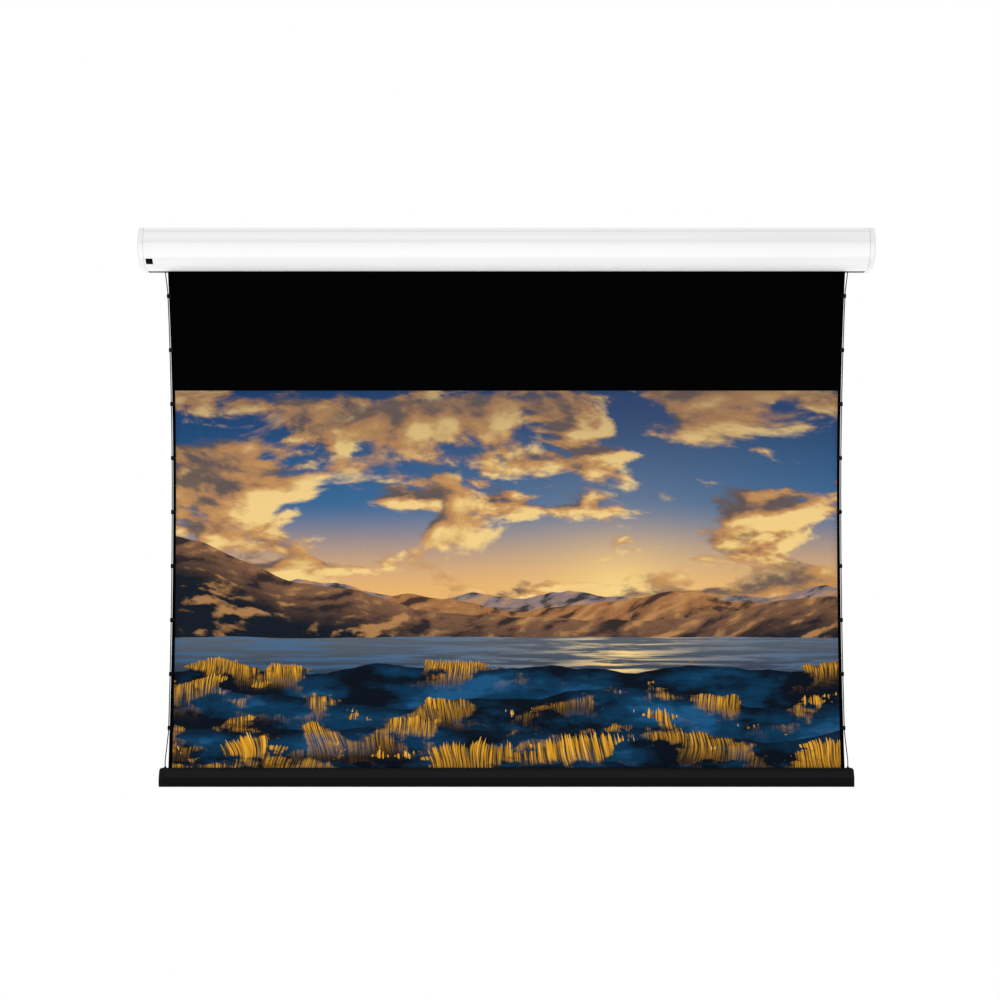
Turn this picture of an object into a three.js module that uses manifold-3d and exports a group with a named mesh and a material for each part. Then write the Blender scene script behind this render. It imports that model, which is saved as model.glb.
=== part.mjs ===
import * as THREE from "three";
import { mergeVertices } from "three/addons/utils/BufferGeometryUtils.js";
import Module from "manifold-3d";

// Electric roll-down projector screen with tensioned side edges, let all the way down.
// Millimetres. X runs along the case, Y = 0 is the wall and the front faces -Y, Z = 0 is the case's top.
// A section is drawn as [d, z], where d is the distance from the wall.

// Case
const CASE_LENGTH = 2432;
const CASE_HEIGHT = 137;
const CASE_BACK = 10;
const WALL = 2;
const FRONT_R = 82;
const FRONT_D = 66;
const FRONT_Z = FRONT_R - CASE_HEIGHT;
const CORNER_R = 7;
const SEAM_Z = -13;
const SEAM_GAP = 0.8;
const GROOVE_DEPTH = 0.7;
const GROOVES = [15, 8.5];
const SLOT_REAR = 19;
const GAP = 0.3;
const CAP_THICK = 18;
const CAP_ROUND = 5;
const CAP_WALL = 3;
const SPIGOT_LENGTH = 26;

// Hanging rails on the case's back and the wall brackets
const RAIL_WALL = 2.4;
const RAIL_Z = -20;
const RAIL_LIP = 14;
const FOOT_RAIL_Z = 25 - CASE_HEIGHT;
const HANG_IN = 282;
const BRACKET_X = CASE_LENGTH / 2 - HANG_IN;
const BRACKET_WIDTH = 60;
const BRACKET_PLATE = 3;
const RAIL_BACK = BRACKET_PLATE + 1.5;
const LOCK_R = 2;

// Screw ports that run along the shell, one per end screw
const PORT_R = 4.2;
const PORT_BORE = 1.9;
const PORTS = [
  [CASE_BACK + WALL + 4, -WALL - 4],
  [FRONT_D + 46, -WALL - 4],
  [CASE_BACK + WALL + 4, -CASE_HEIGHT + WALL + 4],
];
const SCREW_R = 1.6;
const SCREW_HEAD_R = 3.8;
const SCREW_HEAD = 2.6;
const SCREW_LENGTH = 34;

// Roller
const AXIS_D = 80;
const AXIS_Z = FRONT_Z - 2;
const TUBE_R = 35;
const TUBE_WALL = 1.5;
const TUBE_END_ROOM = 62;
const TUBE_HALF = CASE_LENGTH / 2 - TUBE_END_ROOM;
const WRAP_IN = TUBE_R + GAP;
const WRAP_R = 36.4;
const TUBE_BORE = TUBE_R - TUBE_WALL;
const KEYWAY_MOUTH = 3.7;
const KEYWAY_FLOOR = 2.2;
const KEYWAY_DEPTH = 5;
const MOTOR_R = 22.5;
const MOTOR_LENGTH = 520;
const HEAD_R = 29;
const HEAD_THICK = 22;
const PLATE = 3;
const PLATE_HALF = 43;
const PLATE_TOP = -18;
const PEG_IN = 9;
const PIN_R = 6;
const BEARING_R = 14;

// Cloth
const CLOTH = 0.8;
const CLOTH_FRONT = AXIS_D - WRAP_R - GAP;
const CLOTH_D = CLOTH_FRONT - CLOTH / 2;
const WAIST_IN = 39.3;
const WAIST = TUBE_HALF - WAIST_IN;
const WAIST_DROP = 823;
const FLARE_TOP = 21.8;
const FLARE_FOOT = 16.3;
const BORDER = 9.7;
const BORDER_SPREAD = 0.2;
const BLACK_DROP = 397;
const PICTURE_TOP = -CASE_HEIGHT - BLACK_DROP;
const PICTURE_HEIGHT = 1261.3;
const HEM_DEPTH = 11;

// Edge tabs and cords
const TAB_COUNT = 9;
const TAB_TOP_GAP = 80.3;
const TAB_FOOT_GAP = 133.2;
const TAB_HEIGHT = 14;
const TAB_R = 4.2;
const TAB_BORE = 2.3;
const TAB_TONGUE = 8;
const TAB_THICK = 1.6;
const CORD_R = 1.7;
const CORD_OUT = 3.2;
const CORD_END_IN = 12.5;
const CORD_END_X = TUBE_HALF - CORD_END_IN;

// Weight bar
const BAR_PAST_TUBE = 6;
const BAR_HALF = TUBE_HALF + BAR_PAST_TUBE;
const BAR_TOP = PICTURE_TOP - PICTURE_HEIGHT;
const HEM_Z = BAR_TOP - HEM_DEPTH;
const TAB_TOP_Z = -CASE_HEIGHT - TAB_TOP_GAP;
const TAB_FOOT_Z = BAR_TOP + TAB_FOOT_GAP;
const TAB_PITCH = (TAB_TOP_Z - TAB_FOOT_Z) / (TAB_COUNT - 1);
const BAR_HEIGHT = 61.7;
const BAR_CAP = 15;
const BAR_NECK = 12;
const BAR_DEPTH = 43;
const BAR_CREASE = 30;
const BAR_WALL = 2;
const SPLINE_R = 3;

// Receiver window on the cover
const WINDOW = 23;
const WINDOW_IN = 36;
const WINDOW_X = WINDOW_IN - CASE_LENGTH / 2;
const WINDOW_ANGLE = -44;
const MODULE_DEPTH = 12;

const wasm = await Module();
wasm.setup();

const root = new THREE.Group();
root.name = "projector_screen";

function finish(colour, roughness, metalness) {
  return () => new THREE.MeshStandardMaterial({ color: colour, roughness, metalness });
}
const whiteCoat = finish("#f1f2f1", 0.42, 0);
const whitePlastic = finish("#eeefee", 0.5, 0);
const blackCoat = finish("#17181a", 0.45, 0);
const blackPlastic = finish("#141415", 0.5, 0);
const blackCloth = finish("#0b0b0d", 0.85, 0);
const matteWhite = finish("#f4f4f2", 0.9, 0);
const greyCord = finish("#4a4b4d", 0.8, 0);
const bareAluminium = finish("#b9bcc0", 0.38, 1);
const zincSteel = finish("#a9adb1", 0.42, 1);
const motorCoat = finish("#5b6066", 0.5, 0.3);
const darkWindow = finish("#101012", 0.15, 0);
const greyRubber = finish("#2a2a2b", 0.8, 0);

// One solid from a closed geometry.
function solid(geometry) {
  const bare = geometry.clone();
  bare.deleteAttribute("normal");
  bare.deleteAttribute("uv");
  const merged = mergeVertices(bare, 1e-3);
  return new wasm.Manifold(
    new wasm.Mesh({
      numProp: 3,
      vertProperties: new Float32Array(merged.attributes.position.array),
      triVerts: new Uint32Array(merged.index.array),
    }),
  );
}

function geometryOf(made) {
  const raw = made.getMesh();
  const geometry = new THREE.BufferGeometry();
  geometry.setAttribute("position", new THREE.BufferAttribute(new Float32Array(raw.vertProperties), 3));
  geometry.setIndex(new THREE.BufferAttribute(new Uint32Array(raw.triVerts), 1));
  geometry.computeVertexNormals();
  return geometry;
}

function add(name, made, material) {
  const mesh = new THREE.Mesh(made.isBufferGeometry ? made : geometryOf(made), material());
  mesh.name = name;
  root.add(mesh);
}

function shapeOf(points) {
  return new THREE.Shape(points.map(([a, b]) => new THREE.Vector2(a, b)));
}

// A [d, z] section drawn out along X from x0 to x1.
function along(points, x0, x1, holes = []) {
  const shape = shapeOf(points.map(([d, z]) => [-d, z]));
  const geometry = new THREE.ExtrudeGeometry(shape, { depth: x1 - x0, bevelEnabled: false });
  const turned = new THREE.Matrix4().makeBasis(
    new THREE.Vector3(0, 1, 0),
    new THREE.Vector3(0, 0, 1),
    new THREE.Vector3(1, 0, 0),
  );
  geometry.applyMatrix4(turned);
  geometry.translate(x0, 0, 0);
  let made = solid(geometry);
  for (const hole of holes) {
    made = made.subtract(along(hole, x0 - 1, x1 + 1));
  }
  return made;
}

// An [x, z] outline as a sheet whose front is at distance dFront from the wall.
function sheet(points, dFront, thick) {
  const geometry = new THREE.ExtrudeGeometry(shapeOf(points), { depth: thick, bevelEnabled: false });
  geometry.rotateX(Math.PI / 2);
  geometry.translate(0, -dFront + thick, 0);
  return solid(geometry);
}

// An [x, d] outline drawn up from z0 to z1.
function upright(points, z0, z1) {
  const shape = shapeOf(points.map(([x, d]) => [x, -d]));
  const geometry = new THREE.ExtrudeGeometry(shape, { depth: z1 - z0, bevelEnabled: false });
  geometry.translate(0, 0, z0);
  return solid(geometry);
}

function arc(cx, cy, r, from, to, steps) {
  const points = [];
  for (let i = 0; i <= steps; i += 1) {
    const a = ((from + ((to - from) * i) / steps) * Math.PI) / 180;
    points.push([cx + r * Math.cos(a), cy + r * Math.sin(a)]);
  }
  return points;
}

function circle(cx, cy, r, count) {
  return arc(cx, cy, r, 0, 360, count).slice(0, count);
}

function rect(a0, b0, a1, b1) {
  return [
    [a0, b0],
    [a1, b0],
    [a1, b1],
    [a0, b1],
  ];
}

// A round about the line through [d, z] that runs along X, turned from [x, r] points.
function turned(points, d, z, count) {
  const ring = points.map(([x, r]) => new THREE.Vector2(r, x));
  const geometry = new THREE.LatheGeometry([...ring, ring[0].clone()], count);
  geometry.rotateZ(-Math.PI / 2);
  geometry.translate(0, -d, z);
  let made = solid(geometry);
  if (made.volume() < 0) {
    const flipped = new THREE.LatheGeometry([...ring, ring[0].clone()].reverse(), count);
    flipped.rotateZ(-Math.PI / 2);
    flipped.translate(0, -d, z);
    made = solid(flipped);
  }
  return made;
}

// A solid through [x, section] rings that all have the same number of points and run clockwise.
function stack(rings) {
  const count = rings[0][1].length;
  const position = rings.flatMap(([x, points]) => points.flatMap(([d, z]) => [x, -d, z]));
  const index = [];
  for (let i = 0; i + 1 < rings.length; i += 1) {
    for (let j = 0; j < count; j += 1) {
      const a = i * count + j;
      const b = i * count + ((j + 1) % count);
      index.push(a, b, a + count, b, b + count, a + count);
    }
  }
  for (const [first, flip] of [
    [0, false],
    [rings.length - 1, true],
  ]) {
    const flat = rings[first][1].map(([d, z]) => new THREE.Vector2(d, z));
    for (const [a, b, c] of THREE.ShapeUtils.triangulateShape(flat, [])) {
      const corners = flip ? [a, c, b] : [a, b, c];
      index.push(...corners.map((corner) => corner + first * count));
    }
  }
  const geometry = new THREE.BufferGeometry();
  geometry.setAttribute("position", new THREE.Float32BufferAttribute(position, 3));
  geometry.setIndex(index);
  return solid(geometry);
}

function rod(x0, x1, r, d, z, count) {
  return along(circle(d, z, r, count), Math.min(x0, x1), Math.max(x0, x1));
}

// Angle on the front arc at which its height is z, in degrees.
function frontAngle(z, r = FRONT_R) {
  return (Math.asin((z - FRONT_Z) / r) * 180) / Math.PI;
}

// Outer outline of the case's end view, moved in by a distance.
function caseOutline(inset, steps) {
  const r = FRONT_R - inset;
  const top = -inset;
  const corner = Math.max(CORNER_R - inset, 0.6);
  // The corner's centre is one radius below the top and one radius inside the front arc.
  const cz = top - corner;
  const reach = Math.sqrt((r - corner) ** 2 - (cz - FRONT_Z) ** 2);
  const cd = FRONT_D + reach;
  const toArc = (Math.atan2(cz - FRONT_Z, reach) * 180) / Math.PI;
  const back = CASE_BACK + inset;
  const floor = -CASE_HEIGHT + inset;
  const small = Math.max(4 - inset, 0.6);
  return [
    ...arc(back + small, top - small, small, 180, 90, 3),
    ...arc(cd, cz, corner, 90, toArc, 4),
    ...arc(FRONT_D, FRONT_Z, r, toArc, -90, steps).slice(1),
    ...arc(back + small, floor + small, small, -90, -180, 3),
  ];
}

// Case shell: top, back and rear lip in one thin section, with its rails and screw ports
const END_X = CASE_LENGTH / 2 - CAP_THICK - GAP;
const FAR = 400;
const seamCut = SEAM_Z + SEAM_GAP / 2;
const outer = caseOutline(0, 40);
const inner = caseOutline(WALL, 40);

function shellSection() {
  const ring = along(outer, -END_X, END_X, [inner]);
  // The shell keeps what lies above the seam at the front, and the top, the back and the rear lip.
  const frontPart = along(rect(60, seamCut, FAR, -FAR), -FAR * 4, FAR * 4);
  const slotPart = along(rect(SLOT_REAR, -60, FAR, -FAR), -FAR * 4, FAR * 4);
  let made = ring.subtract(frontPart).subtract(slotPart);
  // Lip that turns up along the slot's rear edge
  const lip = rect(SLOT_REAR - WALL, -CASE_HEIGHT, SLOT_REAR, -CASE_HEIGHT + 5);
  made = made.add(along(lip, -END_X, END_X));
  // Tongue behind the seam that the cover's edge laps over
  const tongue = [
    ...arc(FRONT_D, FRONT_Z, FRONT_R - WALL - 1.6, frontAngle(-7), frontAngle(SEAM_Z - 6), 4),
    ...arc(FRONT_D, FRONT_Z, FRONT_R - WALL + 0.2, frontAngle(seamCut), frontAngle(-7), 4),
  ];
  const neck = arc(FRONT_D, FRONT_Z, FRONT_R - WALL - GAP, frontAngle(SEAM_Z - 6), frontAngle(seamCut), 2);
  made = made.add(along([...tongue.slice(0, 5), ...neck, ...tongue.slice(5)], -END_X, END_X));
  for (const [d, z] of PORTS) {
    made = made.add(along(circle(d, z, PORT_R, 16), -END_X, END_X));
  }
  for (const [d, z] of PORTS) {
    made = made.subtract(along(circle(d, z, PORT_BORE, 12), -END_X - 1, END_X + 1));
  }
  const hangingRail = [
    [CASE_BACK + 0.5, RAIL_Z],
    [RAIL_BACK, RAIL_Z],
    [RAIL_BACK, RAIL_Z - RAIL_LIP],
    [RAIL_BACK + RAIL_WALL, RAIL_Z - RAIL_LIP],
    [RAIL_BACK + RAIL_WALL, RAIL_Z - RAIL_WALL],
    [CASE_BACK + 0.5, RAIL_Z - RAIL_WALL],
  ];
  made = made.add(along(hangingRail, -END_X, END_X));
  const footRail = rect(RAIL_BACK, FOOT_RAIL_Z - RAIL_WALL, CASE_BACK + 0.5, FOOT_RAIL_Z);
  return made.add(along(footRail, -END_X, END_X));
}
const shell = shellSection();
add("case_shell", shell, whiteCoat);

// Front cover: the arc below the seam, with grooves near its foot and a lip along the slot
function coverSection() {
  const from = frontAngle(SEAM_Z - SEAM_GAP / 2);
  const skin = [
    ...arc(FRONT_D, FRONT_Z, FRONT_R, from, -90, 44),
    ...arc(FRONT_D, FRONT_Z, FRONT_R - WALL, -90, from, 44),
  ];
  let made = along(skin, -END_X, END_X);
  for (const up of GROOVES) {
    const z = up - CASE_HEIGHT;
    const a = (frontAngle(z) * Math.PI) / 180;
    const d = FRONT_D + FRONT_R * Math.cos(a);
    made = made.subtract(along(circle(d, z, GROOVE_DEPTH, 8), -END_X - 1, END_X + 1));
  }
  const lip = rect(FRONT_D - 1, -CASE_HEIGHT, FRONT_D + 1, -CASE_HEIGHT + 7);
  return made.add(along(lip, -END_X, END_X));
}
let cover = coverSection();

// Receiver window: a square set flush in the cover, with its module behind
function patch(rOut, rIn, half, x0, x1) {
  const spread = ((half / FRONT_R) * 180) / Math.PI;
  const outline = [
    ...arc(FRONT_D, FRONT_Z, rOut, WINDOW_ANGLE + spread, WINDOW_ANGLE - spread, 6),
    ...arc(FRONT_D, FRONT_Z, rIn, WINDOW_ANGLE - spread, WINDOW_ANGLE + spread, 6),
  ];
  return along(outline, x0, x1);
}
const windowHalf = WINDOW / 2;
const windowHole = patch(FRONT_R + 3, FRONT_R - 6, windowHalf, WINDOW_X - windowHalf, WINDOW_X + windowHalf);
cover = cover.subtract(windowHole);
add("front_cover", cover, whiteCoat);

const paneHalf = windowHalf - GAP;
const pane = patch(FRONT_R + 0.6, FRONT_R - WALL - 1, paneHalf, WINDOW_X - paneHalf, WINDOW_X + paneHalf);
add("receiver_window", pane, darkWindow);

const moduleOut = FRONT_R - WALL - 1 - GAP;
const moduleBody = patch(moduleOut, moduleOut - MODULE_DEPTH, 13, WINDOW_X - 12, WINDOW_X + 22);
add("receiver_module", moduleBody, blackPlastic);

// End caps: a thick rounded plate, hollow from inside, with a spigot that plugs the case
const CAP_FACE = CASE_LENGTH / 2;
const CAP_FLOOR = CAP_FACE - CAP_WALL;
const PLATE_OUT = CAP_FACE - CAP_THICK;
const PEGS = [
  [AXIS_D - PLATE_HALF + PEG_IN, AXIS_Z - 30],
  [AXIS_D - PLATE_HALF + PEG_IN, PLATE_TOP - PEG_IN],
  [AXIS_D + PLATE_HALF - PEG_IN, AXIS_Z - 30],
  [AXIS_D + PLATE_HALF - PEG_IN, PLATE_TOP - PEG_IN],
];
const PEG_R = 2.6;

function capSolid() {
  const rings = [[PLATE_OUT, caseOutline(0, 16)]];
  for (let i = 0; i <= 3; i += 1) {
    const a = (i * Math.PI) / 6;
    const inset = CAP_ROUND * (1 - Math.cos(a));
    rings.push([CAP_FACE - CAP_ROUND * (1 - Math.sin(a)), caseOutline(inset, 16)]);
  }
  let made = stack(rings);
  made = made.subtract(along(caseOutline(CAP_WALL + 2.6, 12), PLATE_OUT - 1, CAP_FLOOR));
  const rim = along(
    caseOutline(WALL + 0.4, 14),
    PLATE_OUT - SPIGOT_LENGTH,
    PLATE_OUT + 1,
    [caseOutline(WALL + 2.8, 14)],
  );
  // The spigot is cut away at the slot, at the screw ports and at the seam's tongue.
  let spigot = rim.subtract(along(rect(SLOT_REAR - 4, 37 - CASE_HEIGHT, FRONT_D + 2, -FAR), 0, PLATE_OUT));
  spigot = spigot.subtract(along(rect(100, -1, FAR, SEAM_Z - 8), 0, PLATE_OUT));
  spigot = spigot.subtract(along(rect(0, -1, 26, -14), 0, PLATE_OUT));
  spigot = spigot.subtract(along(rect(0, 15 - CASE_HEIGHT, 26, -FAR), 0, PLATE_OUT));
  made = made.add(spigot);
  for (const [d, z] of PORTS) {
    made = made.add(rod(PLATE_OUT, CAP_FLOOR + 0.5, SCREW_HEAD_R + 2, d, z, 12));
  }
  for (const [d, z] of PORTS) {
    made = made.subtract(rod(PLATE_OUT - 60, CAP_FACE + 1, SCREW_R + GAP, d, z, 10));
    made = made.subtract(rod(CAP_FACE - SCREW_HEAD, CAP_FACE + 1, SCREW_HEAD_R + GAP, d, z, 14));
  }
  for (const [d, z] of PEGS) {
    made = made.add(rod(PLATE_OUT, CAP_FLOOR + 0.5, 6, d, z, 10));
    made = made.add(rod(PLATE_OUT - PLATE - 1.6, CAP_FLOOR + 0.5, PEG_R, d, z, 8));
  }
  return made;
}

const GROMMET_R = 8;
const GROMMET_D = 31;
const GROMMET_Z = 31 - CASE_HEIGHT;
const capRight = capSolid();
const moduleRoom = along(rect(FRONT_D + 26, FRONT_Z - 31, FAR, -FAR), -PLATE_OUT, 0);
const capLeft = capSolid()
  .mirror([1, 0, 0])
  .subtract(moduleRoom)
  .subtract(rod(-CAP_FACE - 1, -CAP_FLOOR + 2, GROMMET_R + GAP, GROMMET_D, GROMMET_Z, 16));
add("end_cap_left", capLeft, whitePlastic);
add("end_cap_right", capRight, whitePlastic);

// Cable grommet in the left cap, open for a mains lead
const grommet = turned(
  [
    [-CAP_FACE - 2, 4],
    [-CAP_FACE - 2, GROMMET_R + 1],
    [-CAP_FACE - GAP, GROMMET_R + 2.5],
    [-CAP_FACE - GAP, GROMMET_R],
    [-CAP_FLOOR + GAP, GROMMET_R],
    [-CAP_FLOOR + GAP, GROMMET_R + 2],
    [-CAP_FLOOR + 2.6, GROMMET_R + 0.6],
    [-CAP_FLOOR + 2.6, 4],
  ],
  GROMMET_D,
  GROMMET_Z,
  16,
);
add("cable_grommet", grommet, greyRubber);

// End screws: pan heads with a cross recess, in the shell's ports
PORTS.forEach(([d, z], i) => {
  let screw = rod(CAP_FACE - SCREW_HEAD + GAP, CAP_FACE - GAP, SCREW_HEAD_R, d, z, 14);
  screw = screw.add(rod(CAP_FACE - SCREW_LENGTH, CAP_FACE - 1, SCREW_R, d, z, 10));
  const bar = [rect(d - 2.4, z - 0.5, d + 2.4, z + 0.5), rect(d - 0.5, z - 2.4, d + 0.5, z + 2.4)];
  for (const mark of bar) {
    screw = screw.subtract(along(mark, CAP_FACE - 1.3, CAP_FACE + 1));
  }
  add("end_screw_right_" + (i + 1), screw, zincSteel);
  add("end_screw_left_" + (i + 1), screw.mirror([1, 0, 0]), zincSteel);
});

// Wall brackets: a plate on the wall, an upturned hook in the hanging rail, a foot tab for the lock screw
const hookTop = RAIL_Z - RAIL_WALL - GAP;
const armTop = RAIL_Z - RAIL_LIP - GAP;
const footTop = FOOT_RAIL_Z - RAIL_WALL - 3.4;
const legBack = RAIL_BACK + RAIL_WALL + GAP;
const bracketSection = [
  [0, -12],
  [BRACKET_PLATE, -12],
  [BRACKET_PLATE, armTop],
  [legBack, armTop],
  [legBack, hookTop],
  [CASE_BACK - GAP, hookTop],
  [CASE_BACK - GAP, armTop - BRACKET_PLATE],
  [BRACKET_PLATE, armTop - BRACKET_PLATE],
  [BRACKET_PLATE, footTop],
  [CASE_BACK - GAP, footTop],
  [CASE_BACK - GAP, footTop - BRACKET_PLATE],
  [BRACKET_PLATE, footTop - BRACKET_PLATE],
  [BRACKET_PLATE, -CASE_HEIGHT + 6],
  [0, -CASE_HEIGHT + 6],
];
function slotHole(cx, cz, half, r) {
  return [...arc(cx + half, cz, r, -90, 90, 6), ...arc(cx - half, cz, r, 90, 270, 6)];
}
const lockD = (BRACKET_PLATE + CASE_BACK) / 2;
for (const [side, sign] of [
  ["left", -1],
  ["right", 1],
]) {
  const x = sign * BRACKET_X;
  const half = BRACKET_WIDTH / 2;
  let bracket = along(bracketSection, x - half, x + half);
  for (const z of [armTop - 24, footTop + 26]) {
    bracket = bracket.subtract(sheet(slotHole(x, z, 8, 3), BRACKET_PLATE + 1, BRACKET_PLATE + 2));
  }
  const bore = upright(circle(x, lockD, LOCK_R + GAP, 12), footTop - BRACKET_PLATE - 1, footTop + 1);
  add("wall_bracket_" + side, bracket.subtract(bore), zincSteel);
  const headTop = footTop - BRACKET_PLATE - GAP;
  let lock = upright(circle(x, lockD, LOCK_R, 12), headTop - 1, FOOT_RAIL_Z - RAIL_WALL - GAP);
  lock = lock.add(upright(circle(x, lockD, 3.2, 6), headTop - 4, headTop));
  add("lock_screw_" + side, lock, zincSteel);
}

// Roller tube with the groove that grips the cloth's top edge
function tubeSection() {
  const mouth = (Math.asin(KEYWAY_MOUTH / TUBE_R) * 180) / Math.PI;
  const inside = (Math.asin((KEYWAY_MOUTH + 2 * TUBE_WALL) / TUBE_BORE) * 180) / Math.PI;
  const outline = arc(AXIS_D, AXIS_Z, TUBE_R, 90 + mouth, 450 - mouth, 48);
  const groove = [
    [AXIS_D + KEYWAY_FLOOR, AXIS_Z + TUBE_R - KEYWAY_DEPTH],
    [AXIS_D - KEYWAY_FLOOR, AXIS_Z + TUBE_R - KEYWAY_DEPTH],
  ];
  const bore = [
    ...arc(AXIS_D, AXIS_Z, TUBE_BORE, 90 + inside, 450 - inside, 44),
    [AXIS_D + KEYWAY_FLOOR + 2, AXIS_Z + TUBE_R - KEYWAY_DEPTH - 2],
    [AXIS_D - KEYWAY_FLOOR - 2, AXIS_Z + TUBE_R - KEYWAY_DEPTH - 2],
  ];
  return along([...outline, ...groove], -TUBE_HALF, TUBE_HALF, [bore]);
}
add("roller_tube", tubeSection(), bareAluminium);

// The turn and a half of cloth that stays on the roller
const wrapHalf = edgeAt(AXIS_Z);
const wrap = along(circle(AXIS_D, AXIS_Z, WRAP_R, 48), -wrapHalf, wrapHalf, [
  circle(AXIS_D, AXIS_Z, WRAP_IN, 48),
]);
add("screen_wrap", wrap, blackCloth);

// Key that runs in the tube's groove, on each plug that turns with the tube
function notch(made, x0, x1) {
  const low = AXIS_Z + TUBE_R - KEYWAY_DEPTH - 2.4;
  const high = AXIS_Z + TUBE_R + 2;
  const foot = KEYWAY_FLOOR + 2.6;
  const head = foot + (high - low) * 0.6;
  const key = [
    [AXIS_D - foot, low],
    [AXIS_D + foot, low],
    [AXIS_D + head, high],
    [AXIS_D - head, high],
  ];
  return made.subtract(along(key, x0 - 1, x1 + 1));
}

// Tube motor at the left end: fixed body and head, turning crown and drive wheel
const BRACKET_IN = PLATE_OUT - PLATE - GAP;
const headFace = -BRACKET_IN + GAP;
const motorEnd = headFace + HEAD_THICK + MOTOR_LENGTH;
const motor = turned(
  [
    [headFace, 0],
    [headFace, HEAD_R - 2],
    [headFace + 2, HEAD_R],
    [headFace + HEAD_THICK - 2, HEAD_R],
    [headFace + HEAD_THICK, HEAD_R - 2],
    [headFace + HEAD_THICK, MOTOR_R],
    [motorEnd - 24, MOTOR_R],
    [motorEnd - 22, 7],
    [motorEnd, 7],
    [motorEnd, 0],
  ],
  AXIS_D,
  AXIS_Z,
  28,
);
add("motor_body", motor, motorCoat);

const crownFrom = -TUBE_HALF;
const crown = turned(
  [
    [crownFrom - 3, MOTOR_R + GAP],
    [crownFrom - 3, TUBE_R],
    [crownFrom - GAP, TUBE_R],
    [crownFrom - GAP, TUBE_BORE - GAP],
    [crownFrom + 24, TUBE_BORE - GAP],
    [crownFrom + 24, MOTOR_R + GAP],
  ],
  AXIS_D,
  AXIS_Z,
  36,
);
add("motor_crown", notch(crown, crownFrom - 0.2, crownFrom + 26), blackPlastic);

const wheelFrom = motorEnd - 21;
const wheelPoints = [];
for (let i = 0; i < 8; i += 1) {
  const from = i * 45;
  wheelPoints.push(...arc(AXIS_D, AXIS_Z, TUBE_BORE - GAP, from + 6, from + 30, 4));
  wheelPoints.push(...arc(AXIS_D, AXIS_Z, 20, from + 36, from + 45, 1));
}
const wheel = along(wheelPoints, wheelFrom, wheelFrom + 20, [circle(AXIS_D, AXIS_Z, 7 + GAP, 16)]);
add("motor_drive_wheel", notch(wheel, wheelFrom, wheelFrom + 20), blackPlastic);

// Steel plates that carry the roller, staked on the caps' pegs
function plateSection(holeR) {
  const [d0, d1] = [AXIS_D - PLATE_HALF, AXIS_D + PLATE_HALF];
  const [z0, z1] = [AXIS_Z - 30 - PEG_IN, PLATE_TOP];
  const outline = [
    [d0 + 6, z0],
    [d1 - 12, z0],
    [d1, z0 + 12],
    [d1, z1 - 6],
    [d1 - 6, z1],
    [d0 + 6, z1],
    [d0, z1 - 6],
    [d0, z0 + 6],
  ];
  const holes = PEGS.map(([d, z]) => circle(d, z, PEG_R + GAP, 8));
  return [outline, holeR > 0 ? [...holes, circle(AXIS_D, AXIS_Z, holeR, 20)] : holes];
}
const [motorPlate, motorHoles] = plateSection(9);
add("motor_bracket", along(motorPlate, -PLATE_OUT + GAP, -BRACKET_IN, motorHoles), zincSteel);
const [idlerPlate, idlerHoles] = plateSection(PIN_R + GAP);
add("idler_bracket", along(idlerPlate, BRACKET_IN, PLATE_OUT - GAP, idlerHoles), zincSteel);

// Idler end: a plug in the tube turns on a bearing on a fixed pin
const pin = turned(
  [
    [PLATE_OUT + 3, 0],
    [PLATE_OUT + 3, PIN_R - 1],
    [PLATE_OUT + 2, PIN_R],
    [BRACKET_IN - GAP, PIN_R],
    [BRACKET_IN - GAP, PIN_R + 5],
    [BRACKET_IN - 4, PIN_R + 5],
    [BRACKET_IN - 4, PIN_R],
    [TUBE_HALF - 24, PIN_R],
    [TUBE_HALF - 26, PIN_R - 1],
    [TUBE_HALF - 26, 0],
  ],
  AXIS_D,
  AXIS_Z,
  16,
);
add("idler_pin", pin, zincSteel);

const bearing = turned(
  [
    [TUBE_HALF - 18, PIN_R + GAP],
    [TUBE_HALF - 18, BEARING_R],
    [TUBE_HALF - 6, BEARING_R],
    [TUBE_HALF - 6, PIN_R + GAP],
  ],
  AXIS_D,
  AXIS_Z,
  24,
);
add("idler_bearing", bearing, zincSteel);

const plug = turned(
  [
    [TUBE_HALF + 3, PIN_R + 6],
    [TUBE_HALF + 3, TUBE_R],
    [TUBE_HALF + GAP, TUBE_R],
    [TUBE_HALF + GAP, TUBE_BORE - GAP],
    [TUBE_HALF - 40, TUBE_BORE - GAP],
    [TUBE_HALF - 40, BEARING_R + GAP],
    [TUBE_HALF - 6 + GAP, BEARING_R + GAP],
    [TUBE_HALF - 6 + GAP, PIN_R + 6],
  ],
  AXIS_D,
  AXIS_Z,
  28,
);
add("idler_plug", notch(plug, TUBE_HALF - 42, TUBE_HALF + 0.2), blackPlastic);

// Half width of the cloth at a height: each side edge is drawn in towards the waist.
function edgeAt(z) {
  const waistZ = AXIS_Z - WAIST_DROP;
  if (z > waistZ) {
    return WAIST + FLARE_TOP * ((z - waistZ) / WAIST_DROP) ** 2;
  }
  return WAIST + FLARE_FOOT * ((waistZ - z) / (waistZ - BAR_TOP)) ** 2;
}

// The side border widens where the edge flares.
function borderAt(z) {
  return BORDER + BORDER_SPREAD * (edgeAt(z) - WAIST);
}

// Points down the right edge, moved in by a distance at each height.
function edgeRun(z0, z1, insetAt, steps) {
  const points = [];
  for (let i = 0; i <= steps; i += 1) {
    const z = z0 + ((z1 - z0) * i) / steps;
    points.push([edgeAt(z) - insetAt(z), z]);
  }
  return points;
}

function mirrored(points) {
  return points.map(([x, z]) => [-x, z]).reverse();
}

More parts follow.
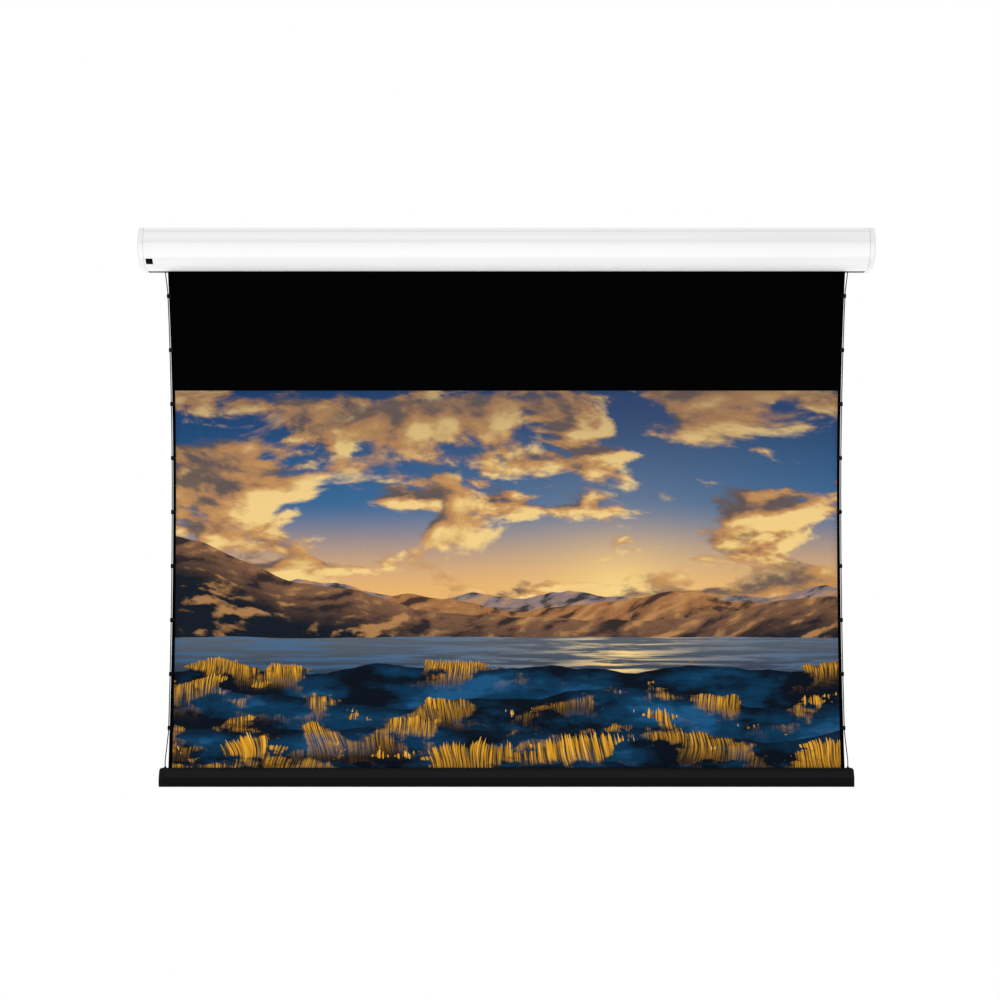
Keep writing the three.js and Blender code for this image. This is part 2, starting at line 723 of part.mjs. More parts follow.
const JOIN = GAP / 2;
const pictureTop = PICTURE_TOP - JOIN;
const pictureRight = edgeRun(pictureTop, HEM_Z, (z) => borderAt(z) + JOIN, 22);
const picture = [...pictureRight, ...mirrored(pictureRight)];
add("viewing_surface", sheet(picture, CLOTH_FRONT, CLOTH), matteWhite);

const dropRight = edgeRun(AXIS_Z, PICTURE_TOP + JOIN, () => 0, 8);
const drop = [...dropRight, ...mirrored(dropRight)];
add("black_drop", sheet(drop, CLOTH_FRONT, CLOTH), blackCloth);

const borderOut = edgeRun(pictureTop, HEM_Z, () => 0, 22);
const borderIn = edgeRun(pictureTop, HEM_Z, (z) => borderAt(z) - JOIN, 22).reverse();
const border = [...borderOut, ...borderIn];
add("border_right", sheet(border, CLOTH_FRONT, CLOTH), blackCloth);
add("border_left", sheet(mirrored(border), CLOTH_FRONT, CLOTH), blackCloth);

// Cord: upright in its anchor, slanted to the lowest tab, along the cloth's edge, slanted to the roller
const CORD_TOP = AXIS_Z - 4;
const CORD_TOP_X = TUBE_HALF - 3;
const CORD_BOTTOM = BAR_TOP - 6;
const CORD_FOOT = BAR_TOP + 24;
const CORD_LAP = 0.5;
const bendTop = TAB_TOP_Z + TAB_HEIGHT / 2 + 6;
const bendBottom = TAB_FOOT_Z - TAB_HEIGHT / 2 - 6;

function cordPoint(x, z) {
  return new THREE.Vector3(x, -CLOTH_D, z);
}
class EdgeLine extends THREE.Curve {
  getPoint(t) {
    const z = bendBottom + (bendTop - bendBottom) * t;
    return cordPoint(edgeAt(z) + CORD_OUT, z);
  }
}
function cordRun(path, steps) {
  const section = shapeOf(circle(0, 0, CORD_R, 6));
  return solid(new THREE.ExtrudeGeometry(section, { steps, extrudePath: path, bevelEnabled: false }));
}
const cordRuns = [
  [cordPoint(CORD_END_X, CORD_BOTTOM), cordPoint(CORD_END_X, CORD_FOOT + CORD_LAP)],
  [cordPoint(CORD_END_X, CORD_FOOT), cordPoint(edgeAt(bendBottom) + CORD_OUT, bendBottom + CORD_LAP)],
  [cordPoint(edgeAt(bendTop) + CORD_OUT, bendTop - CORD_LAP), cordPoint(CORD_TOP_X, CORD_TOP)],
];
let cord = cordRun(new EdgeLine(), 16);
for (const [from, to] of cordRuns) {
  cord = cord.add(cordRun(new THREE.LineCurve3(from, to), 1));
}
add("cord_right", cord, greyCord);
add("cord_left", cord.mirror([1, 0, 0]), greyCord);

// Tabs: a tongue clipped on the cloth's edge and an eye that the cord runs through
for (let i = 0; i < TAB_COUNT; i += 1) {
  const z = TAB_TOP_Z - i * TAB_PITCH;
  const edge = edgeAt(z);
  const eye = circle(edge + CORD_OUT, CLOTH_D, TAB_R, 14);
  const bottom = z - TAB_HEIGHT / 2;
  const top = z + TAB_HEIGHT / 2;
  let tab = upright(eye, bottom, top);
  const tongue = rect(edge - TAB_TONGUE, CLOTH_D - TAB_THICK * 1.4, edge + CORD_OUT, CLOTH_D + TAB_THICK * 1.4);
  tab = tab.add(upright(tongue, bottom + 1.5, top - 1.5));
  const mouth = rect(edge - TAB_TONGUE - 1, CLOTH_D - CLOTH / 2 - GAP, edge + GAP, CLOTH_D + CLOTH / 2 + GAP);
  tab = tab.subtract(upright(mouth, bottom - 1, top + 1));
  tab = tab.subtract(upright(circle(edge + CORD_OUT, CLOTH_D, TAB_BORE, 10), bottom - 1, top + 1));
  add("tab_right_" + (i + 1), tab, blackPlastic);
  add("tab_left_" + (i + 1), tab.mirror([1, 0, 0]), blackPlastic);
}

// Weight bar: a hollow section with sloped shoulders, a crease and a channel for the cloth's hem
function barOutline(inset) {
  const neck = BAR_NECK / 2 - inset;
  const full = BAR_DEPTH / 2 - inset;
  const top = BAR_TOP - inset;
  const crease = BAR_TOP - BAR_CREASE - inset * 0.4;
  const floor = BAR_TOP - BAR_HEIGHT + inset;
  const foot = Math.max(6 - inset, 1);
  const right = [
    [neck - 1.5, top],
    [neck, top - 1.5],
    [neck + (full - neck) * 0.3, top + (crease - top) * 0.34],
    [neck + (full - neck) * 0.66, top + (crease - top) * 0.68],
    [full - 1.6, crease + 1.6],
    [full - 1.2, crease],
    [full - 0.2, crease - 4],
    [full, crease - 10],
    ...arc(full - foot, floor + foot, foot, 0, -90, 5),
  ];
  const left = right.map(([d, z]) => [-d, z]).reverse();
  return [...right, ...left].map(([d, z]) => [CLOTH_D + d, z]);
}
const BAR_BODY = BAR_HALF - BAR_CAP - GAP;
const channelZ = HEM_Z - SPLINE_R - GAP;
const channelR = SPLINE_R + 1.6;

function barSection() {
  const cavity = barOutline(BAR_WALL).filter(([, z]) => z < channelZ - channelR - BAR_WALL);
  const roof = channelZ - channelR - BAR_WALL;
  const wide = (BAR_NECK / 2 + 7) * 0.72;
  const lower = [...cavity];
  lower.push([CLOTH_D - wide, roof], [CLOTH_D + wide, roof]);
  let made = along(barOutline(0), -BAR_BODY, BAR_BODY);
  made = made.subtract(along(lower, -BAR_BODY - 1, BAR_BODY + 1));
  made = made.subtract(along(circle(CLOTH_D, channelZ, channelR, 16), -BAR_BODY - 1, BAR_BODY + 1));
  const throat = rect(CLOTH_D - 1.2, channelZ, CLOTH_D + 1.2, BAR_TOP + 1);
  made = made.subtract(along(throat, -BAR_BODY - 1, BAR_BODY + 1));
  for (const sign of [-1, 1]) {
    const bore = upright(circle(sign * CORD_END_X, CLOTH_D, 3.4, 12), channelZ, BAR_TOP + 1);
    made = made.subtract(bore);
  }
  return made;
}
add("weight_bar", barSection(), blackCoat);

const splineHalf = edgeAt(HEM_Z) - 6;
add("hem_spline", rod(-splineHalf, splineHalf, SPLINE_R, CLOTH_D, channelZ, 12), blackPlastic);

// Cord anchors: ferrules that grip the cord's lower ends in the bar's neck
for (const [side, sign] of [
  ["left", -1],
  ["right", 1],
]) {
  const x = sign * CORD_END_X;
  const low = channelZ + 0.5;
  let anchor = upright(circle(x, CLOTH_D, 3, 12), low, BAR_TOP + 5);
  anchor = anchor.add(upright(circle(x, CLOTH_D, 4.2, 12), BAR_TOP + GAP, BAR_TOP + 3));
  const hole = upright(circle(x, CLOTH_D, CORD_R + GAP + 0.2, 10), CORD_BOTTOM - GAP, BAR_TOP + 6);
  add("cord_anchor_" + side, anchor.subtract(hole), blackPlastic);
}

// Bar caps: plates with rounded upper corners and a spigot in the bar
function barCap() {
  let made = along(barOutline(0), BAR_HALF - BAR_CAP, BAR_HALF);
  const corner = 8;
  const keep = [
    [BAR_HALF - BAR_CAP - 1, BAR_TOP + 1],
    ...arc(BAR_HALF - corner, BAR_TOP - corner, corner, 90, 0, 6),
    ...arc(BAR_HALF - 3, BAR_TOP - BAR_HEIGHT + 3, 3, 0, -90, 4),
    [BAR_HALF - BAR_CAP - 1, BAR_TOP - BAR_HEIGHT - 1],
  ];
  made = made.intersect(sheet(keep, CLOTH_D + BAR_DEPTH, BAR_DEPTH * 2));
  const roof = channelZ - channelR - BAR_WALL - 3;
  const plugOutline = [
    ...barOutline(BAR_WALL + GAP).filter(([, z]) => z < roof),
    [CLOTH_D - 7, roof],
    [CLOTH_D + 7, roof],
  ];
  // Half-round room for the cord's anchor in the cap's inner face
  const room = upright(circle(CORD_END_X, CLOTH_D, 4.6, 14), channelZ - 1, BAR_TOP + 1);
  return made.subtract(room).add(along(plugOutline, BAR_HALF - BAR_CAP - 16, BAR_HALF - BAR_CAP + 1));
}
const barCapRight = barCap();
add("bar_cap_right", barCapRight, blackPlastic);
add("bar_cap_left", barCapRight.mirror([1, 0, 0]), blackPlastic);

export default root;
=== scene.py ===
import math

import bmesh
import bpy
from bpy.props import FloatProperty, FloatVectorProperty, IntProperty, PointerProperty
from mathutils import Matrix, Vector


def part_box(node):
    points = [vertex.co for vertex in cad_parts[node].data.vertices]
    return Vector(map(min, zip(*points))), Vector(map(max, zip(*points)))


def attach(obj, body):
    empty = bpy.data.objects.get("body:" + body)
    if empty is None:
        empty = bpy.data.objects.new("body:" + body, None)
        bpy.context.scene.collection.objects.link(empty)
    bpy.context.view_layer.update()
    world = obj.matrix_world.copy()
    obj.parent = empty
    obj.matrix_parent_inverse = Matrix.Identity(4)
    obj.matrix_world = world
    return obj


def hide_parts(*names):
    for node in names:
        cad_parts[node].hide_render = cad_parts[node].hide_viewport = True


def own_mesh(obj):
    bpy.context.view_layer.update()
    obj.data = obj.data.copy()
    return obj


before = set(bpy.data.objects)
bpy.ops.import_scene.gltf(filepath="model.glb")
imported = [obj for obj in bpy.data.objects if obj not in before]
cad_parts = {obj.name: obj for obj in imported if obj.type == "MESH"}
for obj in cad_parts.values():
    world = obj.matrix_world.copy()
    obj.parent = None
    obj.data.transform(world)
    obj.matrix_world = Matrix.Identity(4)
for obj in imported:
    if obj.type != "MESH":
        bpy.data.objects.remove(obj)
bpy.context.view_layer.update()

bl_info = {
    "name": "Roll-down projector screen",
    "version": (1, 0, 0),
    "blender": (4, 5, 0),
    "location": "3D View > Sidebar > Screen",
    "description": "Dresses a wall-hung roll-down screen: case, cloth, tabs, cords, weight bar and stage",
    "category": "Object",
}

CLOTH_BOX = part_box("viewing_surface")
DROP_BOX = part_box("black_drop")
BAR_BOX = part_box("weight_bar")
CORD_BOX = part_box("cord_right")
SIDES = (("left", -1), ("right", 1))

# Case, in metres: centre of its front arc, where its inner faces begin (they take a painted shade colour),
# and the painted shade line at its caps
ARC_FORWARD = 0.066
ARC_DOWN = 0.055
ARC_INSIDE = (0.0807, 0.0811)
TOP_INSIDE = (-0.026, -0.024)
BACK_INSIDE = (-0.0114, -0.011)
FOOT_INSIDE = (-0.1362, -0.1358)
SEAM_SHADE = (0.0003, 0.0009)

# Copies of CAD nodes: faces that are joined, and rounds on hard edges in metres
MERGE_GAP = 1e-6
FLAT_ANGLE = math.radians(0.3)
FINE_ROUND = 0.0003
SMALL_ROUND = 0.0004
MOTOR_ROUND = 0.0005
SMOOTH_ANGLE = math.radians(35)

# Weaves: pitch of the threads in metres, and scale of the cord's braid
CLOTH_THREAD = 0.0007
PICTURE_THREAD = 0.0006
BRAID_SCALE = 260

# Cloth: columns of faces across each sheet
DROP_COLUMNS = 24
PICTURE_COLUMNS = 96
BORDER_COLUMNS = 2

# Picture: width over height, and where its low sun stands
PICTURE_SHAPE = 1.776
SUN_ACROSS = 0.30
SUN_HEIGHT = 0.47

# Edge tabs, in metres: the leaves on the cloth, their rivets and the eye
TABS_PER_SIDE = 9
LEAF_THICK = 0.0014
LEAF_HEIGHT = 0.0108
LEAF_REACH = 0.0078
LEAF_SHORT = 0.0026
LEAF_APART = 0.0015
LEAF_TAPER = 0.78
LEAF_ROUND = LEAF_THICK * 0.35
RIVET_IN = 0.0045
RIVET_FORWARD = 0.0021
RIVET_UP = 0.0026
RIVET_RADIUS = 0.0012
RIVET_HEIGHT = 0.0005
EYE_LIP = 0.0007
EYE_MOUTH = 0.0011
EYE_DIP = 0.0002
EYE_CHAMFER = 0.0008
EYE_THROAT = 0.0018
EYE_SHOULDER = 0.84
EYE_BELLY = 0.96
EYE_BELLY_UP = 0.55
EYE_SIDES = 20

# Tension cords, in metres: bends past the end tabs, the upright foot, free height over the anchor
CORD_BEND = 0.006
CORD_FOOT = 0.024
CORD_STEPS = 72
CORD_SIDES = 10

# Stage: camera's sensor in millimetres, its reach, the floor, and the surround as a light
SENSOR = 36
FAR_CLIP = 60
FLOOR_RADIUS = 4.5
WORLD_LIGHT = 0.87


class ScreenSizes(bpy.types.PropertyGroup):
    """Sizes of the soft pieces and the view."""

    waist: FloatProperty(
        name="Waist",
        description="Half the cloth's width at its narrowest height",
        default=1.1147,
        unit="LENGTH",
    )
    waist_drop: FloatProperty(
        name="Waist drop",
        description="Depth of the narrowest height below the roller",
        default=0.823,
        unit="LENGTH",
    )
    flare_top: FloatProperty(
        name="Upper flare",
        description="How much wider each half is at the roller",
        default=0.0218,
        unit="LENGTH",
    )
    flare_foot: FloatProperty(
        name="Lower flare",
        description="How much wider each half is at the bar",
        default=0.0163,
        unit="LENGTH",
    )
    border: FloatProperty(
        name="Side border",
        description="Width of the black border at each side of the picture, at the waist",
        default=0.0097,
        unit="LENGTH",
    )
    border_spread: FloatProperty(
        name="Border spread",
        description="Share of the flare that the border takes up",
        default=0.2,
        subtype="FACTOR",
    )
    cloth: FloatProperty(
        name="Cloth thickness",
        description="Thickness of the coated cloth",
        default=0.0008,
        unit="LENGTH",
    )
    cord_radius: FloatProperty(
        name="Cord radius",
        description="Radius of the tension cords",
        default=0.0017,
        unit="LENGTH",
    )
    cord_out: FloatProperty(
        name="Cord offset",
        description="Distance of the cord outside the cloth's edge",
        default=0.0032,
        unit="LENGTH",
    )
    tab_radius: FloatProperty(
        name="Tab eye radius",
        description="Outer radius of the eye that the cord runs through",
        default=0.0042,
        unit="LENGTH",
    )
    tab_bore: FloatProperty(
        name="Tab bore radius",
        description="Radius of the bore through a tab's eye",
        default=0.0023,
        unit="LENGTH",
    )
    cloth_rows: IntProperty(
        name="Cloth rows",
        description="Rows of faces down the picture cloth",
        default=64,
        min=8,
    )
    view_distance: FloatProperty(
        name="View distance",
        description="Distance of the camera from the cloth",
        default=6.5,
        unit="LENGTH",
    )
    view_drop: FloatProperty(
        name="View drop",
        description="Height of the camera below the case's top",
        default=0.8995,
        unit="LENGTH",
    )
    view_side: FloatProperty(
        name="View offset",
        description="How far left of the middle the camera stands",
        default=0.0217,
        unit="LENGTH",
    )
    view_focal: FloatProperty(
        name="Focal length",
        description="Focal length over a 36 mm wide square picture, in millimetres",
        default=69.97,
    )
    floor_drop: FloatProperty(
        name="Floor drop",
        description="Height of the case's top above the floor",
        default=2.82,
        unit="LENGTH",
    )


def colour_property(name, description, value):
    """One editable colour."""
    return FloatVectorProperty(
        name=name, description=description, subtype="COLOR", size=3, min=0, max=1, default=value
    )


class ScreenColours(bpy.types.PropertyGroup):
    """Colours of the finishes, in linear light."""

    case_coat: colour_property("Case coat", "White powder coat of the case", (0.86, 0.86, 0.86))
    # Painted shade: the inside of the case is darkened so the slot under it reads dark
    case_inside_shade: colour_property("Case inside", "Dark inside of the case", (0.05, 0.05, 0.052))
    cap_plastic: colour_property("End cap", "White moulded end caps", (0.83, 0.83, 0.83))
    bar_coat: colour_property("Bar coat", "Black powder coat of the weight bar", (0.0035, 0.0034, 0.0038))
    black_plastic: colour_property("Black plastic", "Plugs, anchors and bar caps", (0.0045, 0.0045, 0.005))
    tab_plastic: colour_property("Tab plastic", "Matt black nylon of the tabs", (0.0015, 0.0015, 0.0016))
    black_cloth: colour_property("Black cloth", "Black drop and borders", (0.0004, 0.0004, 0.0005))
    back_coat: colour_property("Back coat", "Back of the cloth", (0.010, 0.010, 0.011))
    cord_grey: colour_property("Cord", "Braided tension cord", (0.012, 0.012, 0.013))
    zinc: colour_property("Zinc plate", "Brackets, screws and plates", (0.52, 0.53, 0.54))
    tube: colour_property("Tube metal", "Mill finish of the roller tube", (0.62, 0.63, 0.65))
    motor: colour_property("Motor paint", "Painted steel of the tube motor", (0.10, 0.11, 0.12))
    sky_high: colour_property("High sky", "Picture: top of the sky", (0.003, 0.044, 0.150))
    sky_mid: colour_property("Middle sky", "Picture: middle of the sky", (0.022, 0.145, 0.34))
    sky_low: colour_property("Low sky", "Picture: sky over the hills", (0.86, 0.47, 0.15))
    cloud_light: colour_property("Cloud light", "Picture: lit cloud", (0.95, 0.66, 0.25))
    cloud_mid: colour_property("Cloud body", "Picture: cloud away from the sun", (0.56, 0.28, 0.10))
    cloud_shade: colour_property("Cloud shade", "Picture: shaded cloud", (0.13, 0.095, 0.085))
    haze: colour_property("Haze", "Picture: foot of the far hills", (0.60, 0.36, 0.20))
    hill_far: colour_property("Far hill", "Picture: far slopes", (0.25, 0.19, 0.19))
    hill_lit: colour_property("Lit hill", "Picture: lit slopes", (0.36, 0.16, 0.06))
    hill_foot: colour_property("Hill foot", "Picture: foot of the near slopes", (0.20, 0.10, 0.055))
    hill_dark: colour_property("Dark hill", "Picture: shaded slopes", (0.008, 0.012, 0.020))
    water: colour_property("Water", "Picture: near water", (0.004, 0.022, 0.055))
    water_far: colour_property("Far water", "Picture: far water", (0.10, 0.12, 0.15))
    soil: colour_property("Soil", "Picture: dark hummocks", (0.003, 0.006, 0.012))
    frost: colour_property("Frost", "Picture: blue hollows", (0.004, 0.034, 0.080))
    straw_shade: colour_property("Grass shade", "Picture: shaded grass", (0.11, 0.065, 0.018))
    reed: colour_property("Grass", "Picture: sunlit grass", (0.76, 0.35, 0.018))


def sizes():
    """The scene's sizes."""
    return bpy.context.scene.screen_sizes


def colours():
    """The scene's colours."""
    return bpy.context.scene.screen_colours


class Finish:
    """One node material around a Principled shader, with short ways to add its nodes."""

    def __init__(self, name):
        self.material = bpy.data.materials.new(name)
        self.material.use_nodes = True
        self.nodes = self.material.node_tree.nodes
        self.links = self.material.node_tree.links
        self.nodes.clear()
        self.output = self.nodes.new("ShaderNodeOutputMaterial")
        self.shader = self.nodes.new("ShaderNodeBsdfPrincipled")
        self.links.new(self.shader.outputs["BSDF"], self.output.inputs["Surface"])

    def put(self, socket, value):
        """Links a socket to value, or sets it."""
        if isinstance(value, bpy.types.NodeSocket):
            self.links.new(value, socket)
        else:
            socket.default_value = value

    def set(self, **values):
        """Sets the shader's own sockets by name, with _ for a space."""
        for name, value in values.items():
            self.put(self.shader.inputs[name.replace("_", " ")], value)

    def coords(self, kind="Object"):
        """A texture coordinate."""
        return self.nodes.new("ShaderNodeTexCoord").outputs[kind]

    def math(self, operation, a, b=0.0, c=0.0):
        """A Math node."""
        node = self.nodes.new("ShaderNodeMath")
        node.operation = operation
        self.put(node.inputs[0], a)
        self.put(node.inputs[1], b)
        self.put(node.inputs[2], c)
        return node.outputs[0]

    def smooth(self, value, low, high, to_low=0.0, to_high=1.0):
        """A smooth step of value from low to high."""
        node = self.nodes.new("ShaderNodeMapRange")
        node.interpolation_type = "SMOOTHSTEP"
        self.put(node.inputs["Value"], value)
        self.put(node.inputs["From Min"], low)
        self.put(node.inputs["From Max"], high)
        self.put(node.inputs["To Min"], to_low)
        self.put(node.inputs["To Max"], to_high)
        return node.outputs["Result"]

    def split(self, vector):
        """The X, Y and Z of a vector."""
        node = self.nodes.new("ShaderNodeSeparateXYZ")
        self.put(node.inputs[0], vector)
        return node.outputs

    def join(self, x, y, z=0.0):
        """A vector from three values."""
        node = self.nodes.new("ShaderNodeCombineXYZ")
        for socket, value in zip(node.inputs, (x, y, z)):
            self.put(socket, value)
        return node.outputs[0]

    def scaled(self, vector, scale):
        """A vector stretched by three factors."""
        node = self.nodes.new("ShaderNodeMapping")
        self.put(node.inputs["Vector"], vector)
        node.inputs["Scale"].default_value = scale
        return node.outputs[0]

    def noise(self, vector, scale, detail=2.0, roughness=0.5, distortion=0.0):
        """Noise from 0 to 1."""
        node = self.nodes.new("ShaderNodeTexNoise")
        self.put(node.inputs["Vector"], vector)
        node.inputs["Scale"].default_value = scale
        node.inputs["Detail"].default_value = detail
        node.inputs["Roughness"].default_value = roughness
        node.inputs["Distortion"].default_value = distortion
        return node.outputs["Fac"]

    def wave(self, vector, scale, direction="X"):
        """A band wave from 0 to 1."""
        node = self.nodes.new("ShaderNodeTexWave")
        node.bands_direction = direction
        self.put(node.inputs["Vector"], vector)
        node.inputs["Scale"].default_value = scale
        return node.outputs["Fac"]

    def blend(self, factor, a, b):
        """A mix of two colours."""
        node = self.nodes.new("ShaderNodeMix")
        node.data_type = "RGBA"
        self.put(node.inputs[0], factor)
        for socket, value in ((node.inputs[6], a), (node.inputs[7], b)):
            self.put(socket, value if isinstance(value, bpy.types.NodeSocket) else (*value, 1))
        return node.outputs[2]

    def bump(self, height, distance, strength=1.0):
        """Bends the shader's normal by a height, in metres."""
        node = self.nodes.new("ShaderNodeBump")
        node.inputs["Distance"].default_value = distance
        node.inputs["Strength"].default_value = strength
        self.put(node.inputs["Height"], height)
        self.links.new(node.outputs["Normal"], self.shader.inputs["Normal"])
        return self


def shaded(colour, share):
    """A colour made lighter or darker."""
    return tuple(min(1.0, c * share) for c in colour)


def coat_finish(name, colour, roughness, grain, shine=0.5):
    """Powder coat: an even colour with a fine orange-peel skin."""
    finish = Finish(name)
    at = finish.coords()
    wide = finish.noise(at, 2.5, 3)
    fine = finish.noise(at, grain, 2)
    tone = finish.blend(wide, shaded(colour, 0.975), shaded(colour, 1.02))
    finish.set(Base_Color=tone, Roughness=finish.smooth(fine, 0.3, 0.7, roughness, roughness + 0.07))
    finish.set(Specular_IOR_Level=shine)
    return finish.bump(fine, 0.00003, 0.5).material


def case_finish(name, colour, inside_shade):
    """Powder coat outside, a dark colour inside as painted shade so the slot reads dark, and a painted
    shade line where the end caps meet it.
    """
    finish = Finish(name)
    at = finish.coords()
    x, y, z = finish.split(at)
    wide = finish.noise(at, 2.5, 3)
    fine = finish.noise(at, 900, 2)
    tone = finish.blend(wide, shaded(colour, 0.975), shaded(colour, 1.02))
    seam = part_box("front_cover")[1].x
    to_end = finish.math("SUBTRACT", seam, finish.math("ABSOLUTE", x))
    # Painted shade line: the coat darkens over its last millimetre at each end, where the end caps meet it
    tone = finish.blend(finish.smooth(to_end, *SEAM_SHADE, 0.75, 0.0), tone, shaded(colour, 0.2))

    # Painted shade inside: behind the front curve, below the top wall, ahead of the back wall, above the
    # foot
    from_wall = finish.math("MULTIPLY", y, -1)
    forward = finish.math("MAXIMUM", finish.math("SUBTRACT", from_wall, ARC_FORWARD), 0)
    up = finish.math("ADD", z, ARC_DOWN)
    out = finish.math("ADD", finish.math("MULTIPLY", forward, forward), finish.math("MULTIPLY", up, up))
    inside = finish.smooth(finish.math("SQRT", out), *ARC_INSIDE, 1, 0)
    inside = finish.math("MULTIPLY", inside, finish.smooth(z, *TOP_INSIDE, 1, 0))
    inside = finish.math("MULTIPLY", inside, finish.smooth(y, *BACK_INSIDE, 1, 0))
    inside = finish.math("MULTIPLY", inside, finish.smooth(z, *FOOT_INSIDE))
    finish.set(Base_Color=finish.blend(inside, tone, inside_shade))
    finish.set(Roughness=finish.smooth(fine, 0.3, 0.7, 0.13, 0.17), Specular_IOR_Level=0.5)
    return finish.bump(fine, 0.00003, 0.5).material


def plastic_finish(name, colour, roughness, grain=1400, shine=0.5):
    """Moulded plastic: a fine spark-eroded grain and faint flow marks."""
    finish = Finish(name)
    at = finish.coords()
    flow = finish.noise(finish.scaled(at, (1, 3, 3)), 9, 3)
    spark = finish.noise(at, grain, 3, 0.6)
    tone = finish.blend(flow, shaded(colour, 0.94), shaded(colour, 1.05))
    finish.set(Base_Color=tone, Roughness=finish.smooth(spark, 0.3, 0.7, roughness, roughness + 0.1))
    finish.set(Specular_IOR_Level=shine)
    return finish.bump(spark, 0.00004, 0.6).material


def metal_finish(name, colour, roughness, stretch, grain):
    """Bare or plated metal, with its grain drawn along one direction."""
    finish = Finish(name)
    at = finish.scaled(finish.coords(), stretch)
    lines = finish.noise(at, grain, 4, 0.6)
    cloudy = finish.noise(finish.coords(), 18, 3)
    tone = finish.blend(cloudy, shaded(colour, 0.88), shaded(colour, 1.06))
    finish.set(Base_Color=tone, Metallic=1.0)
    finish.set(Roughness=finish.smooth(lines, 0.25, 0.75, roughness, roughness + 0.14))
    return finish.bump(lines, 0.00002, 0.4).material


def weave(finish, at, pitch):
    """Height of a plain weave with this thread pitch."""
    warp = finish.wave(at, 0.5 / pitch, "X")
    weft = finish.wave(at, 0.5 / pitch, "Z")
    return finish.math("MULTIPLY", warp, weft)


def black_cloth_finish(name, colour):
    """Coated black cloth: a plain weave under a matt coat."""
    finish = Finish(name)
    at = finish.coords()
    threads = weave(finish, at, CLOTH_THREAD)
    patches = finish.noise(at, 5, 3)
    tone = finish.blend(patches, shaded(colour, 0.8), shaded(colour, 1.25))
    finish.set(Base_Color=tone, Roughness=finish.smooth(threads, 0, 1, 0.82, 0.95))
    finish.set(Specular_IOR_Level=0.008)
    return finish.bump(threads, 0.00006, 0.5).material


def back_coat_finish(name, colour):
    """Black coat on the cloth's back: a soft sheen over the weave, with faint roll marks."""
    finish = Finish(name)
    at = finish.coords()
    threads = weave(finish, at, CLOTH_THREAD)
    marks = finish.noise(finish.scaled(at, (0.5, 1, 7)), 2.2, 4, 0.55)
    tone = finish.blend(marks, shaded(colour, 0.75), shaded(colour, 1.3))
    finish.set(Base_Color=tone, Roughness=finish.smooth(marks, 0.3, 0.7, 0.5, 0.62))
    finish.set(Specular_IOR_Level=0.25)
    return finish.bump(threads, 0.00008, 0.5).material


def cord_finish(name, colour):
    """Braided cord: two sets of strands that cross round it."""
    finish = Finish(name)
    x, y, z = finish.split(finish.coords())
    turn = finish.math("ADD", x, y)
    over = finish.wave(finish.join(finish.math("ADD", turn, z), 0), BRAID_SCALE)
    under = finish.wave(finish.join(finish.math("SUBTRACT", turn, z), 0), BRAID_SCALE)
    strands = finish.math("MAXIMUM", over, under)
    tone = finish.blend(strands, shaded(colour, 0.45), shaded(colour, 1.3))
    finish.set(Base_Color=tone, Roughness=finish.smooth(strands, 0, 1, 0.9, 0.7))
    finish.set(Specular_IOR_Level=0.1)
    return finish.bump(strands, 0.0002, 0.7).material


def window_finish(name):
    """Dark infra-red window: satin outside, a hint of the sensor's red-brown behind."""
    finish = Finish(name)
    at = finish.coords()
    depth = finish.noise(at, 90, 2)
    tone = finish.blend(depth, (0.003, 0.002, 0.002), (0.008, 0.004, 0.004))
    finish.set(Base_Color=tone, Roughness=finish.smooth(depth, 0.3, 0.7, 0.18, 0.26))
    finish.set(Specular_IOR_Level=0.02)
    return finish.material


def below(finish, edge, height, soft=0.0012):
    """1 below an edge of the picture and 0 above it."""
    return finish.smooth(finish.math("SUBTRACT", edge, height), -soft, soft)


def ridge_line(finish, across, base, rise, pace, seed, detail, roughness):
    """Height of a skyline across the picture."""
    along = finish.join(finish.math("MULTIPLY_ADD", across, pace, seed), 0)
    ridge = finish.noise(along, 1.0, detail, roughness)
    return finish.math("MULTIPLY_ADD", ridge, rise, base - rise / 2)


def paint_sky(finish, palette, across, v):
    """Evening sky: deep blue over gold, with a low sun right of the middle and banks of cloud."""
    sky = finish.blend(finish.smooth(v, 0.60, 1.0), palette.sky_mid, palette.sky_high)
    sky = finish.blend(finish.smooth(v, 0.44, 0.72), palette.sky_low, sky)
    from_sun = finish.math("SUBTRACT", across, SUN_ACROSS)
    above_sun = finish.math("MULTIPLY", finish.math("SUBTRACT", v, SUN_HEIGHT), 1.5)
    far = finish.math("MULTIPLY_ADD", above_sun, above_sun, finish.math("MULTIPLY", from_sun, from_sun))
    glow = finish.math("DIVIDE", 0.018, finish.math("ADD", far, 0.018))
    sky = finish.blend(glow, sky, palette.cloud_light)

    # Banks of cloud: lit where they thin towards the sun, and grey at heart
    # Each has its width, height, size, seed, thin and thick shares, and lean
    layers = (
        (1.5, 3.3, 2.3, 4.0, 0.50, 0.58, 0.30),
        (1.0, 2.1, 2.0, 17.0, 0.51, 0.57, 0.05),
    )
    for wide, high, size, seed, thin, thick, lean in layers:
        slope = finish.math("MULTIPLY_ADD", v, lean, across)
        place = finish.join(finish.math("MULTIPLY", slope, wide), finish.math("MULTIPLY", v, high), seed)
        body = finish.noise(place, size, 12, 0.56, 0.25)
        lit_from = finish.noise(moved(finish, place, (0.05, -0.06, 0)), size, 5, 0.5, 0.25)
        cover = finish.smooth(body, thin, thick)
        relief = finish.math("MULTIPLY_ADD", finish.math("SUBTRACT", body, lit_from), 6.5, 0.42)
        cloud = finish.blend(finish.smooth(relief, 0.0, 0.5), palette.cloud_shade, palette.cloud_mid)
        cloud = finish.blend(finish.smooth(relief, 0.45, 1.0), cloud, palette.cloud_light)
        high_up = finish.math("MULTIPLY", finish.smooth(v, 0.72, 1.05), 0.55)
        cloud = finish.blend(high_up, cloud, palette.cloud_shade)
        sky = finish.blend(finish.math("MULTIPLY", cover, 0.96), sky, cloud)
    return sky


